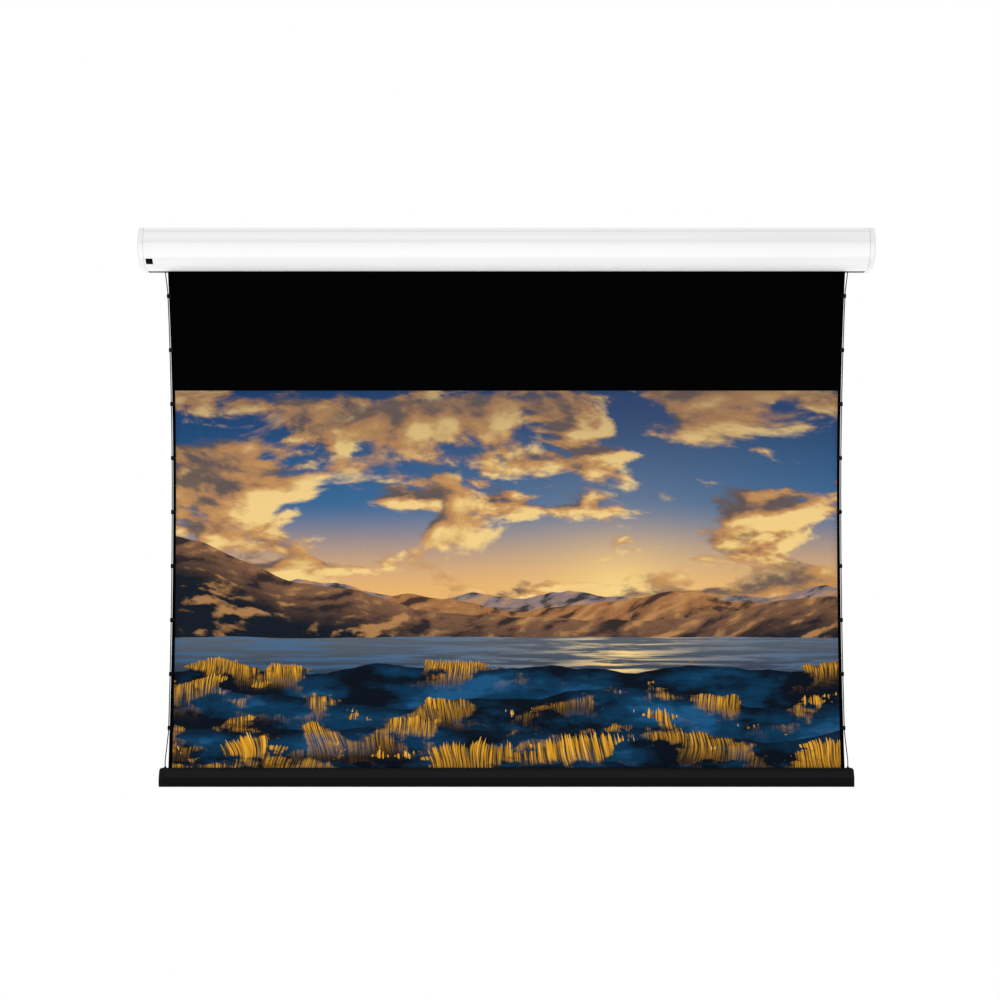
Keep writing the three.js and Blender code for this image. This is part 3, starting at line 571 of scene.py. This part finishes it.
def moved(finish, vector, shift):
    """A vector moved by three values."""
    node = finish.nodes.new("ShaderNodeVectorMath")
    node.operation = "ADD"
    finish.put(node.inputs[0], vector)
    node.inputs[1].default_value = shift
    return node.outputs[0]


def paint_hills(finish, palette, across, v, scene):
    """Rolling hills, from far to near, with folds that the low sun lights from the right."""
    valley = finish.math("SUBTRACT", across, SUN_ACROSS)
    valley = finish.math("MULTIPLY", valley, valley)

    # Each range has its height, rise, pace, seed, bowl, folds, and the colours of its top and foot
    hills = (
        (0.458, 0.16, 3.0, 3.1, 0.03, 5.0, palette.hill_far, palette.haze),
        (0.432, 0.26, 1.9, 7.7, 0.07, 4.0, palette.hill_lit, palette.hill_foot),
        (0.398, 0.30, 1.3, 12.4, 0.13, 3.2, palette.hill_foot, palette.hill_dark),
    )
    for base, rise, pace, seed, bowl, folds, top, foot in hills:
        edge = ridge_line(finish, across, base, rise, pace, seed, 6, 0.42)
        edge = finish.math("MULTIPLY_ADD", valley, bowl, edge)
        down = finish.math("SUBTRACT", edge, v)
        fold_at = finish.join(
            finish.math("MULTIPLY_ADD", across, folds, finish.math("MULTIPLY", down, folds)),
            finish.math("MULTIPLY", down, folds * 1.7),
            seed,
        )
        fold = finish.noise(fold_at, 1.6, 10, 0.55, 0.2)
        next_fold = finish.noise(moved(finish, fold_at, (0.10, 0.03, 0)), 1.6, 10, 0.55, 0.2)
        light = finish.math("MULTIPLY_ADD", finish.math("SUBTRACT", fold, next_fold), 5.0, 0.45)
        slope = finish.blend(finish.smooth(down, 0.0, 0.12), top, foot)
        slope = finish.blend(finish.smooth(light, 0.0, 0.5, 0.85, 0.0), slope, palette.hill_dark)
        slope = finish.blend(finish.smooth(light, 0.52, 0.95, 0.0, 0.7), slope, palette.cloud_mid)
        scene = finish.blend(below(finish, edge, v), scene, slope)
    return scene


def paint_lake(finish, palette, across, v, scene):
    """A still lake: gold under the sun, deep blue towards the viewer."""
    ripple_at = finish.join(finish.math("MULTIPLY", across, 4), finish.math("MULTIPLY", v, 90))
    ripple = finish.noise(ripple_at, 1.0, 6, 0.62, 0.3)
    from_sun = finish.math("SUBTRACT", across, SUN_ACROSS)
    beam = finish.math("DIVIDE", 0.012, finish.math("MULTIPLY_ADD", from_sun, from_sun, 0.012))
    lake = finish.blend(finish.smooth(v, 0.20, 0.37), palette.water, palette.water_far)
    lake = finish.blend(finish.smooth(ripple, 0.46, 0.60, 0.0, 0.5), lake, palette.sky_mid)
    glint = finish.math("MULTIPLY", finish.smooth(ripple, 0.44, 0.60), beam)
    lake = finish.blend(glint, lake, palette.cloud_light)
    shore = ridge_line(finish, across, 0.352, 0.022, 3.0, 31.0, 6, 0.55)
    return finish.blend(below(finish, shore, v, 0.0009), scene, lake)


def paint_meadow(finish, palette, across, v, scene):
    """The near shore: dark hummocks with frosted blue hollows and clumps of sunlit grass."""
    # Each shore has its height, rise, pace, seed, blades of grass, their reach, and its dry share
    shores = (
        (0.270, 0.16, 2.4, 41.0, 330, 0.020, 0.56),
        (0.190, 0.20, 1.9, 57.0, 270, 0.028, 0.54),
        (0.105, 0.22, 2.2, 66.0, 230, 0.038, 0.53),
        (0.010, 0.24, 2.6, 73.0, 200, 0.052, 0.51),
    )
    for base, rise, pace, seed, blades, reach, dry in shores:
        edge = ridge_line(finish, across, base, rise, pace, seed, 4, 0.45)
        bend_at = finish.join(finish.math("MULTIPLY", across, 2.2), finish.math("MULTIPLY", v, 3.0), seed)
        bend = finish.math("MULTIPLY", finish.noise(bend_at, 1.6, 1), 22 * reach * blades / 8)
        blade_x = finish.math("MULTIPLY_ADD", across, blades, bend)
        blade_at = finish.join(blade_x, finish.math("MULTIPLY", v, 0.35 / reach), seed)
        blade = finish.noise(blade_at, 1.0, 3, 0.6)
        clump = finish.noise(finish.join(across, finish.math("MULTIPLY", v, 1.8), seed), 5.5, 4, 0.55)
        grown = finish.smooth(clump, dry - 0.03, dry + 0.06)
        fringe = finish.math("MULTIPLY_ADD", finish.math("MULTIPLY", blade, grown), reach * 2.2, edge)
        down = finish.math("SUBTRACT", fringe, v)
        hollow = finish.noise(finish.join(across, finish.math("MULTIPLY", v, 2.6), seed + 5), 4.2, 7, 0.6)
        soil = finish.blend(finish.smooth(hollow, 0.42, 0.56), palette.soil, palette.frost)
        soil = finish.blend(finish.smooth(hollow, 0.56, 0.68, 0.0, 0.45), soil, palette.sky_mid)
        soil = finish.blend(finish.smooth(down, 0.0, reach, 0.7, 0.0), soil, palette.soil)
        straw = finish.blend(finish.smooth(blade, 0.42, 0.62), palette.straw_shade, palette.reed)
        straw = finish.blend(finish.smooth(blade, 0.60, 0.76, 0.0, 0.8), straw, palette.cloud_light)
        shine = finish.math("MULTIPLY", grown, finish.smooth(blade, 0.34, 0.50))
        shine = finish.math("MULTIPLY", shine, finish.smooth(down, reach * 3.6, reach * 0.6))
        meadow = finish.blend(shine, soil, straw)
        scene = finish.blend(below(finish, fringe, v, 0.0009), scene, meadow)
    return scene


def picture_finish(name, palette):
    """Matt white cloth that shows a generic evening lake: fields of colour and simple shapes."""
    finish = Finish(name)
    u, v, _ = finish.split(finish.coords("UV"))
    across = finish.math("MULTIPLY", finish.math("SUBTRACT", u, 0.5), PICTURE_SHAPE)
    scene = paint_sky(finish, palette, across, v)
    scene = paint_hills(finish, palette, across, v, scene)
    scene = paint_lake(finish, palette, across, v, scene)
    scene = paint_meadow(finish, palette, across, v, scene)
    grain = weave(finish, finish.coords(), PICTURE_THREAD)
    finish.set(Base_Color=scene, Roughness=finish.smooth(grain, 0, 1, 0.78, 0.9))
    finish.set(Specular_IOR_Level=0.02)
    return finish.bump(grain, 0.00003, 0.3).material


class SCREEN_OT_finishes(bpy.types.Operator):
    """Make the finishes"""

    bl_idname = "screen.finishes"
    bl_label = "Finishes"

    def execute(self, context):
        palette = colours()
        case_finish("case_coat", palette.case_coat, palette.case_inside_shade)
        plastic_finish("cap_plastic", palette.cap_plastic, 0.34)
        coat_finish("bar_coat", palette.bar_coat, 0.28, 1100, 0.045)
        plastic_finish("black_plastic", palette.black_plastic, 0.42, 1400, 0.05)
        plastic_finish("tab_plastic", palette.tab_plastic, 0.5, 1400, 0.05)
        black_cloth_finish("black_cloth", palette.black_cloth)
        back_coat_finish("back_coat", palette.back_coat)
        picture_finish("lake_picture", palette)
        cord_finish("cord_braid", palette.cord_grey)
        metal_finish("zinc_plate", palette.zinc, 0.34, (1, 1, 1), 240)
        metal_finish("mill_aluminium", palette.tube, 0.30, (0.02, 1, 1), 900)
        coat_finish("painted_steel", palette.motor, 0.42, 700)
        window_finish("dark_window")
        plastic_finish("soft_rubber", (0.022, 0.022, 0.022), 0.7, 800)
        return {"FINISHED"}


def piece(name, bm, body, materials):
    """Turns a finished bmesh into a piece that rides on a body."""
    mesh = bpy.data.meshes.new(name)
    bm.to_mesh(mesh)
    bm.free()
    mesh.shade_smooth()
    mesh.set_sharp_from_angle(angle=SMOOTH_ANGLE)
    made = bpy.data.objects.new(name, mesh)
    bpy.context.scene.collection.objects.link(made)
    for material in materials:
        mesh.materials.append(bpy.data.materials[material])
    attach(made, body)
    return made


def soften_edges(made, width):
    """A small round on a piece's hard edges."""
    bevel = made.modifiers.new("soft_edges", "BEVEL")
    bevel.width = width
    bevel.segments = 2
    bevel.limit_method = "ANGLE"
    bevel.angle_limit = SMOOTH_ANGLE
    bevel.harden_normals = True


def rounded_copy(node, name, body, material, width=0.0):
    """A smooth copy of a CAD node, with its flat faces joined and its edges softened."""
    bm = bmesh.new()
    bm.from_mesh(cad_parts[node].data)
    bmesh.ops.remove_doubles(bm, verts=bm.verts[:], dist=MERGE_GAP)
    bmesh.ops.dissolve_limit(bm, angle_limit=FLAT_ANGLE, verts=bm.verts[:], edges=bm.edges[:])
    made = piece(name, bm, body, [material])
    if width:
        soften_edges(made, width)
    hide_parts(node)


def paint(node, material):
    """Gives a CAD node that stays its finish."""
    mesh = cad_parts[node].data
    mesh.materials.clear()
    mesh.materials.append(bpy.data.materials[material])


class SCREEN_OT_case(bpy.types.Operator):
    """Dress the case: shell, front cover, end caps and their screws"""

    bl_idname = "screen.case"
    bl_label = "Case"

    def execute(self, context):
        rounded_copy("case_shell", "shell_top_and_back", "case", "case_coat")
        rounded_copy("front_cover", "curved_front", "case", "case_coat")
        for side, _ in SIDES:
            rounded_copy("end_cap_" + side, "cap_" + side, "case", "cap_plastic")
            for number in (1, 2, 3):
                paint(f"end_screw_{side}_{number}", "zinc_plate")
        rounded_copy("cable_grommet", "grommet", "case", "soft_rubber", FINE_ROUND)
        return {"FINISHED"}


class SCREEN_OT_receiver(bpy.types.Operator):
    """Dress the receiver window and its module"""

    bl_idname = "screen.receiver"
    bl_label = "Receiver"

    def execute(self, context):
        rounded_copy("receiver_window", "receiver_pane", "case", "dark_window", SMALL_ROUND)
        paint("receiver_module", "black_plastic")
        return {"FINISHED"}


class SCREEN_OT_hangers(bpy.types.Operator):
    """Dress the wall brackets and their lock screws"""

    bl_idname = "screen.hangers"
    bl_label = "Wall brackets"

    def execute(self, context):
        for side, _ in SIDES:
            rounded_copy(
                "wall_bracket_" + side, "hanger_" + side, "case", "zinc_plate", SMALL_ROUND
            )
            paint("lock_screw_" + side, "zinc_plate")
        return {"FINISHED"}


class SCREEN_OT_roller(bpy.types.Operator):
    """Dress the roller, its motor and its idler end"""

    bl_idname = "screen.roller"
    bl_label = "Roller and motor"

    def execute(self, context):
        rounded_copy("roller_tube", "roller", "roller", "mill_aluminium")
        rounded_copy("screen_wrap", "cloth_turns", "roller", "black_cloth")
        rounded_copy("motor_body", "tube_motor", "case", "painted_steel", MOTOR_ROUND)
        small = (
            ("motor_crown", "crown", "roller", "plastic_black", "black_plastic"),
            ("motor_drive_wheel", "drive_wheel", "roller", "plastic_black", "black_plastic"),
            ("idler_plug", "end_plug", "roller", "plastic_black", "black_plastic"),
            ("idler_bearing", "end_bearing", "roller", "zinc_steel", "zinc_plate"),
            ("idler_pin", "end_pin", "case", "zinc_steel", "zinc_plate"),
        )
        for node, name, body, slot, material in small:
            rounded_copy(node, name, body, material, SMALL_ROUND)
        for node in ("motor_bracket", "idler_bracket"):
            paint(node, "zinc_plate")
        return {"FINISHED"}


def anchor_height():
    """Height at which the cloth leaves the roller."""
    return DROP_BOX[1].z


def edge_at(z):
    """Half width of the cloth at a height: each side is drawn in towards the waist."""
    waist_z = anchor_height() - sizes().waist_drop
    if z > waist_z:
        return sizes().waist + sizes().flare_top * ((z - waist_z) / sizes().waist_drop) ** 2
    return sizes().waist + sizes().flare_foot * ((waist_z - z) / (waist_z - BAR_BOX[1].z)) ** 2


def border_at(z):
    """Width of the black border at a height."""
    return sizes().border + sizes().border_spread * (edge_at(z) - sizes().waist)


def rolls_up(made):
    """Gives the piece a mesh of its own."""
    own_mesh(made)


def cloth_piece(name, node, top, foot, left, right, rows, columns, materials):
    """A flat sheet between two heights and two edges, with its front where the CAD sheet has it."""
    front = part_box(node)[0].y
    bm = bmesh.new()
    layer = bm.loops.layers.uv.new("cloth")
    bmesh.ops.create_grid(bm, x_segments=columns, y_segments=rows, size=0.5)
    for face in bm.faces:
        for loop in face.loops:
            loop[layer].uv = (loop.vert.co.x + 0.5, loop.vert.co.y + 0.5)
    for vert in bm.verts:
        z = foot + (top - foot) * (vert.co.y + 0.5)
        x = left(z) + (right(z) - left(z)) * (vert.co.x + 0.5)
        vert.co = (x, front, z)
    bm.normal_update()
    if bm.faces[:][0].normal.y > 0:
        bmesh.ops.reverse_faces(bm, faces=bm.faces[:])
    area = sum(face.calc_area() for face in bm.faces)
    made = piece(name, bm, "case", materials)
    thick = made.modifiers.new("thickness", "SOLIDIFY")
    thick.thickness = sizes().cloth
    thick.offset = -1
    thick.material_offset = 1
    thick.material_offset_rim = 1
    rolls_up(made)
    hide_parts(node)


class SCREEN_OT_cloth(bpy.types.Operator):
    """Make the cloth: the black drop, the picture and the side borders"""

    bl_idname = "screen.cloth"
    bl_label = "Cloth"

    def execute(self, context):
        rows = sizes().cloth_rows
        blacks = ["black_cloth", "back_coat"]
        top = DROP_BOX[1].z
        seam = (CLOTH_BOX[1].z + DROP_BOX[0].z) / 2
        foot = CLOTH_BOX[0].z
        cloth_piece(
            "drop_cloth", "black_drop", top, seam, lambda z: -edge_at(z), edge_at,
            rows // 3, DROP_COLUMNS, blacks,
        )
        cloth_piece(
            "picture_sheet", "viewing_surface", seam, foot,
            lambda z: border_at(z) - edge_at(z), lambda z: edge_at(z) - border_at(z),
            rows, PICTURE_COLUMNS, ["lake_picture", "back_coat"],
        )
        cloth_piece(
            "border_strip_left", "border_left", seam, foot,
            lambda z: -edge_at(z), lambda z: border_at(z) - edge_at(z),
            rows, BORDER_COLUMNS, blacks,
        )
        cloth_piece(
            "border_strip_right", "border_right", seam, foot,
            lambda z: edge_at(z) - border_at(z), edge_at,
            rows, BORDER_COLUMNS, blacks,
        )
        return {"FINISHED"}


def eye_of_tab(bm, x, y, z, height):
    """The tab's eye: a barrel with a flared bore, spun about the cord."""
    outer = sizes().tab_radius
    bore = sizes().tab_bore
    half = height / 2
    section = (
        (bore + EYE_LIP, half - EYE_DIP),
        (bore + EYE_MOUTH, half),
        (outer * EYE_SHOULDER, half - EYE_CHAMFER),
        (outer * EYE_BELLY, half * EYE_BELLY_UP),
        (outer, 0),
        (outer * EYE_BELLY, half * -EYE_BELLY_UP),
        (outer * EYE_SHOULDER, EYE_CHAMFER - half),
        (bore + EYE_MOUTH, -half),
        (bore + EYE_LIP, EYE_DIP - half),
        (bore, EYE_THROAT - half),
        (bore, half - EYE_THROAT),
    )
    verts = [bm.verts.new((x + r, y, z + h)) for r, h in section]
    edges = [bm.edges.new(pair) for pair in zip(verts, verts[1:] + verts[:1])]
    bmesh.ops.spin(
        bm, geom=verts + edges, cent=(x, y, z), axis=(0, 0, 1), dvec=(0, 0, 0),
        angle=math.tau, steps=EYE_SIDES, use_merge=True, use_normal_flip=False, use_duplicate=False,
    )


def leaf(bm, inner, outer, y, z, height):
    """One leaf of the clip: a thin plate that tapers inwards, with rounded edges."""
    centre = ((inner + outer) / 2, y, z)
    size = (abs(outer - inner), LEAF_THICK, height)
    place = Matrix.Translation(centre) @ Matrix.Diagonal((*size, 1))
    made = bmesh.ops.create_cube(bm, size=1, matrix=place)
    for vert in made["verts"]:
        if abs(vert.co.x) < abs(centre[0]):
            vert.co.z = z + (vert.co.z - z) * LEAF_TAPER
    edges = [edge for edge in bm.edges if edge.verts[0] in made["verts"]]
    bmesh.ops.bevel(
        bm, geom=edges, offset=LEAF_ROUND, segments=2, profile=0.5, affect="EDGES", material=-1
    )


def rivet(bm, centre):
    """A low domed rivet head that faces the viewer."""
    turn = Matrix.Translation(centre) @ Matrix.Rotation(math.radians(90), 4, "X")
    made = bmesh.ops.create_uvsphere(bm, u_segments=12, v_segments=6, radius=RIVET_RADIUS, matrix=turn)
    about = Matrix.Translation(-Vector(centre))
    bmesh.ops.scale(bm, vec=(1, RIVET_HEIGHT / RIVET_RADIUS, 1), space=about, verts=made["verts"])


class SCREEN_OT_tabs(bpy.types.Operator):
    """Make the edge tabs: a clip on the cloth's edge, two rivets and an eye for the cord"""

    bl_idname = "screen.tabs"
    bl_label = "Edge tabs"

    def execute(self, context):
        for side, sign in SIDES:
            for number in range(1, TABS_PER_SIDE + 1):
                node = f"tab_{side}_{number}"
                low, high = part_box(node)
                z = (low.z + high.z) / 2
                y = (low.y + high.y) / 2
                edge = edge_at(z)
                x = sign * (edge + sizes().cord_out)
                bm = bmesh.new()
                eye_of_tab(bm, x, y, z, high.z - low.z)
                inner = sign * (edge - LEAF_REACH)
                outer = sign * (edge + sizes().cord_out - LEAF_SHORT)
                for face_y in (y - LEAF_APART, y + LEAF_APART):
                    leaf(bm, inner, outer, face_y, z, LEAF_HEIGHT)
                for up in (-RIVET_UP, RIVET_UP):
                    rivet(bm, (sign * (edge - RIVET_IN), y - RIVET_FORWARD, z + up))
                bmesh.ops.recalc_face_normals(bm, faces=bm.faces[:])
                made = piece(f"edge_tab_{side}_{number}", bm, "case", ["tab_plastic"])
                rolls_up(made)
                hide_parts(node)
        return {"FINISHED"}


def cord_line():
    """Points down the right cord: distance from the middle and height, from roller to anchor."""
    out = sizes().cord_out
    top = CORD_BOX[1].z
    bend_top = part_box("tab_right_1")[1].z + CORD_BEND
    bend_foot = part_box(f"tab_right_{TABS_PER_SIDE}")[0].z - CORD_BEND
    anchor = sum((corner.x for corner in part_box("cord_anchor_right")), 0.0) / 2
    points = [(CORD_BOX[1].x - sizes().cord_radius, top)]
    for step in range(CORD_STEPS + 1):
        z = bend_top + (bend_foot - bend_top) * step / CORD_STEPS
        points.append((edge_at(z) + out, z))
    points.append((anchor, BAR_BOX[1].z + CORD_FOOT))
    points.append((anchor, CORD_BOX[0].z))
    return points


class SCREEN_OT_cords(bpy.types.Operator):
    """Make the tension cords that run through the tabs"""

    bl_idname = "screen.cords"
    bl_label = "Tension cords"

    def execute(self, context):
        points = cord_line()
        for side, sign in SIDES:
            y = (CORD_BOX[0].y + CORD_BOX[1].y) / 2
            bm = bmesh.new()
            start = Matrix.Translation((sign * points[0][0], y, points[0][1]))
            radius = sizes().cord_radius
            bmesh.ops.create_circle(bm, segments=CORD_SIDES, radius=radius, matrix=start)
            edges = bm.edges[:]
            bmesh.ops.contextual_create(bm, geom=edges)
            for at, to in zip(points, points[1:]):
                grown = bmesh.ops.extrude_edge_only(bm, edges=edges)["geom"]
                verts = [item for item in grown if isinstance(item, bmesh.types.BMVert)]
                edges = [item for item in grown if isinstance(item, bmesh.types.BMEdge)]
                bmesh.ops.translate(bm, verts=verts, vec=(sign * (to[0] - at[0]), 0, to[1] - at[1]))
            bmesh.ops.contextual_create(bm, geom=edges)
            bmesh.ops.recalc_face_normals(bm, faces=bm.faces[:])
            made = piece("tension_cord_" + side, bm, "case", ["cord_braid"])
            rolls_up(made)
            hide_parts("cord_" + side)
        return {"FINISHED"}


class SCREEN_OT_bar(bpy.types.Operator):
    """Dress the weight bar, its caps, its spline and the cords' anchors"""

    bl_idname = "screen.bar"
    bl_label = "Weight bar"

    def execute(self, context):
        rounded_copy("weight_bar", "bar_section", "bar", "bar_coat", SMALL_ROUND)
        paint("hem_spline", "black_plastic")
        small = (("bar_cap_", "bar_end_", SMALL_ROUND), ("cord_anchor_", "anchor_", FINE_ROUND))
        for side, _ in SIDES:
            for node, name, width in small:
                rounded_copy(node + side, name + side, "bar", "black_plastic", width)
        return {"FINISHED"}


def aimed(place, target):
    """A transform at place whose -Z looks at target."""
    way = Vector(target) - Vector(place)
    return Matrix.Translation(place) @ way.to_track_quat("-Z", "Y").to_matrix().to_4x4()


def panel_lamp(name, place, target, width, height, radiance, spreads=True, gleams=True):
    """A soft rectangular lamp of a given radiance, that spreads light, shows in gloss, or both."""
    data = bpy.data.lights.new(name, "AREA")
    data.shape = "RECTANGLE"
    data.size = width
    data.size_y = height
    data.energy = radiance * math.pi * width * height
    lamp = bpy.data.objects.new(name, data)
    bpy.context.scene.collection.objects.link(lamp)
    lamp.matrix_world = aimed(place, target)
    lamp.visible_camera = False
    lamp.visible_diffuse = spreads
    lamp.visible_glossy = gleams


class SCREEN_OT_stage(bpy.types.Operator):
    """Set the camera, the lamps, the white surround and the pale floor"""

    bl_idname = "screen.stage"
    bl_label = "Stage"

    def execute(self, context):
        self.camera(context)
        self.surround(context)
        self.lamps()
        self.floor()
        context.scene.view_settings.view_transform = "Standard"
        return {"FINISHED"}

    def camera(self, context):
        """A level camera square to the wall."""
        data = bpy.data.cameras.new("camera")
        data.lens = sizes().view_focal
        data.sensor_width = SENSOR
        data.clip_end = FAR_CLIP
        camera = bpy.data.objects.new("camera", data)
        context.scene.collection.objects.link(camera)
        back = CLOTH_BOX[0].y - sizes().view_distance
        camera.location = (-sizes().view_side, back, -sizes().view_drop)
        camera.rotation_euler = (math.radians(90), 0, 0)
        context.scene.camera = camera

    def surround(self, context):
        """White to the eye and in reflections, softer as a light."""
        world = bpy.data.worlds.new("surround")
        context.scene.world = world
        world.use_nodes = True
        nodes = world.node_tree.nodes
        links = world.node_tree.links
        nodes.clear()
        output = nodes.new("ShaderNodeOutputWorld")
        seen = nodes.new("ShaderNodeBackground")
        seen.inputs["Strength"].default_value = 1.0
        seen.inputs["Color"].default_value = (1, 1, 1, 1)
        soft = nodes.new("ShaderNodeBackground")
        soft.inputs["Strength"].default_value = WORLD_LIGHT
        soft.inputs["Color"].default_value = (1, 1, 1, 1)
        path = nodes.new("ShaderNodeLightPath")
        first = nodes.new("ShaderNodeMath")
        first.operation = "MAXIMUM"
        second = nodes.new("ShaderNodeMath")
        second.operation = "MAXIMUM"
        mix = nodes.new("ShaderNodeMixShader")
        links.new(path.outputs["Is Camera Ray"], first.inputs[0])
        links.new(path.outputs["Is Glossy Ray"], first.inputs[1])
        links.new(first.outputs[0], second.inputs[0])
        links.new(path.outputs["Is Transmission Ray"], second.inputs[1])
        links.new(second.outputs[0], mix.inputs[0])
        links.new(soft.outputs[0], mix.inputs[1])
        links.new(seen.outputs[0], mix.inputs[2])
        links.new(mix.outputs[0], output.inputs["Surface"])

    def lamps(self):
        """A broad soft box for the gloss, a weak key, a low fill and a back fill."""
        panel_lamp("soft_box", (-0.3, -1.35, -0.58), (-0.3, 0, 0.105), 5.6, 1.78, 2.1, spreads=False)
        panel_lamp("high_key", (-0.9, -3.2, 2.4), (-0.1, 0, -0.5), 4.0, 1.4, 1.2)
        panel_lamp("low_fill", (-0.2, -0.19, -2.62), (-0.2, -0.1, -0.13), 4.6, 0.24, 10.5, gleams=False)
        panel_lamp("back_fill", (0.8, 3.6, 1.0), (0, 0, -0.7), 3.0, 2.0, 0.8)

    def floor(self):
        """A pale round floor that fades into the surround."""
        bm = bmesh.new()
        place = Matrix.Translation((0, 0, -sizes().floor_drop))
        bmesh.ops.create_circle(bm, cap_ends=True, segments=96, radius=FLOOR_RADIUS, matrix=place)
        mesh = bpy.data.meshes.new("floor")
        bm.to_mesh(mesh)
        bm.free()
        floor = bpy.data.objects.new("floor", mesh)
        bpy.context.scene.collection.objects.link(floor)
        finish = Finish("pale_floor")
        at = finish.coords()
        x, y, _ = finish.split(at)
        out = finish.math("ADD", finish.math("MULTIPLY", x, x), finish.math("MULTIPLY", y, y))
        tone = finish.blend(finish.noise(at, 30, 3), (0.86, 0.86, 0.86), (0.90, 0.90, 0.90))
        finish.set(Base_Color=tone, Roughness=0.8)
        path = finish.nodes.new("ShaderNodeLightPath")
        seen = finish.math("MAXIMUM", path.outputs["Is Camera Ray"], path.outputs["Is Glossy Ray"])
        fade = finish.math("MULTIPLY", finish.smooth(finish.math("SQRT", out), 0.0, 1.0), seen)
        white = finish.nodes.new("ShaderNodeEmission")
        mix = finish.nodes.new("ShaderNodeMixShader")
        finish.links.new(fade, mix.inputs[0])
        finish.links.new(finish.shader.outputs[0], mix.inputs[1])
        finish.links.new(white.outputs[0], mix.inputs[2])
        finish.links.new(mix.outputs[0], finish.output.inputs["Surface"])
        mesh.materials.append(finish.material)


OPERATORS = (
    SCREEN_OT_finishes,
    SCREEN_OT_stage,
    SCREEN_OT_case,
    SCREEN_OT_receiver,
    SCREEN_OT_hangers,
    SCREEN_OT_roller,
    SCREEN_OT_bar,
    SCREEN_OT_cloth,
    SCREEN_OT_tabs,
    SCREEN_OT_cords,
)


class SCREEN_PT_panel(bpy.types.Panel):
    """Sizes, colours and the pieces of the screen"""

    bl_idname = "SCREEN_PT_panel"
    bl_label = "Projector screen"
    bl_space_type = "VIEW_3D"
    bl_region_type = "UI"
    bl_category = "Screen"

    def draw(self, context):
        for group in (sizes(), colours()):
            box = self.layout.box()
            for name in group.bl_rna.properties.keys():
                if name not in ("rna_type", "name"):
                    box.prop(group, name)
        for operator in OPERATORS:
            self.layout.operator(operator.bl_idname)


def register():
    """Adds the properties, the operators and the panel."""
    for made in (ScreenSizes, ScreenColours, *OPERATORS, SCREEN_PT_panel):
        bpy.utils.register_class(made)
    bpy.types.Scene.screen_sizes = PointerProperty(type=ScreenSizes)
    bpy.types.Scene.screen_colours = PointerProperty(type=ScreenColours)


def unregister():
    """Takes them away again."""
    del bpy.types.Scene.screen_colours
    del bpy.types.Scene.screen_sizes
    for made in reversed((ScreenSizes, ScreenColours, *OPERATORS, SCREEN_PT_panel)):
        bpy.utils.unregister_class(made)


def main():
    """Builds the screen and its stage."""
    register()
    bpy.ops.screen.finishes()
    bpy.ops.screen.stage()
    bpy.ops.screen.case()
    bpy.ops.screen.receiver()
    bpy.ops.screen.hangers()
    bpy.ops.screen.roller()
    bpy.ops.screen.bar()
    bpy.ops.screen.cloth()
    bpy.ops.screen.tabs()
    bpy.ops.screen.cords()


if __name__ == "__main__":
    main()
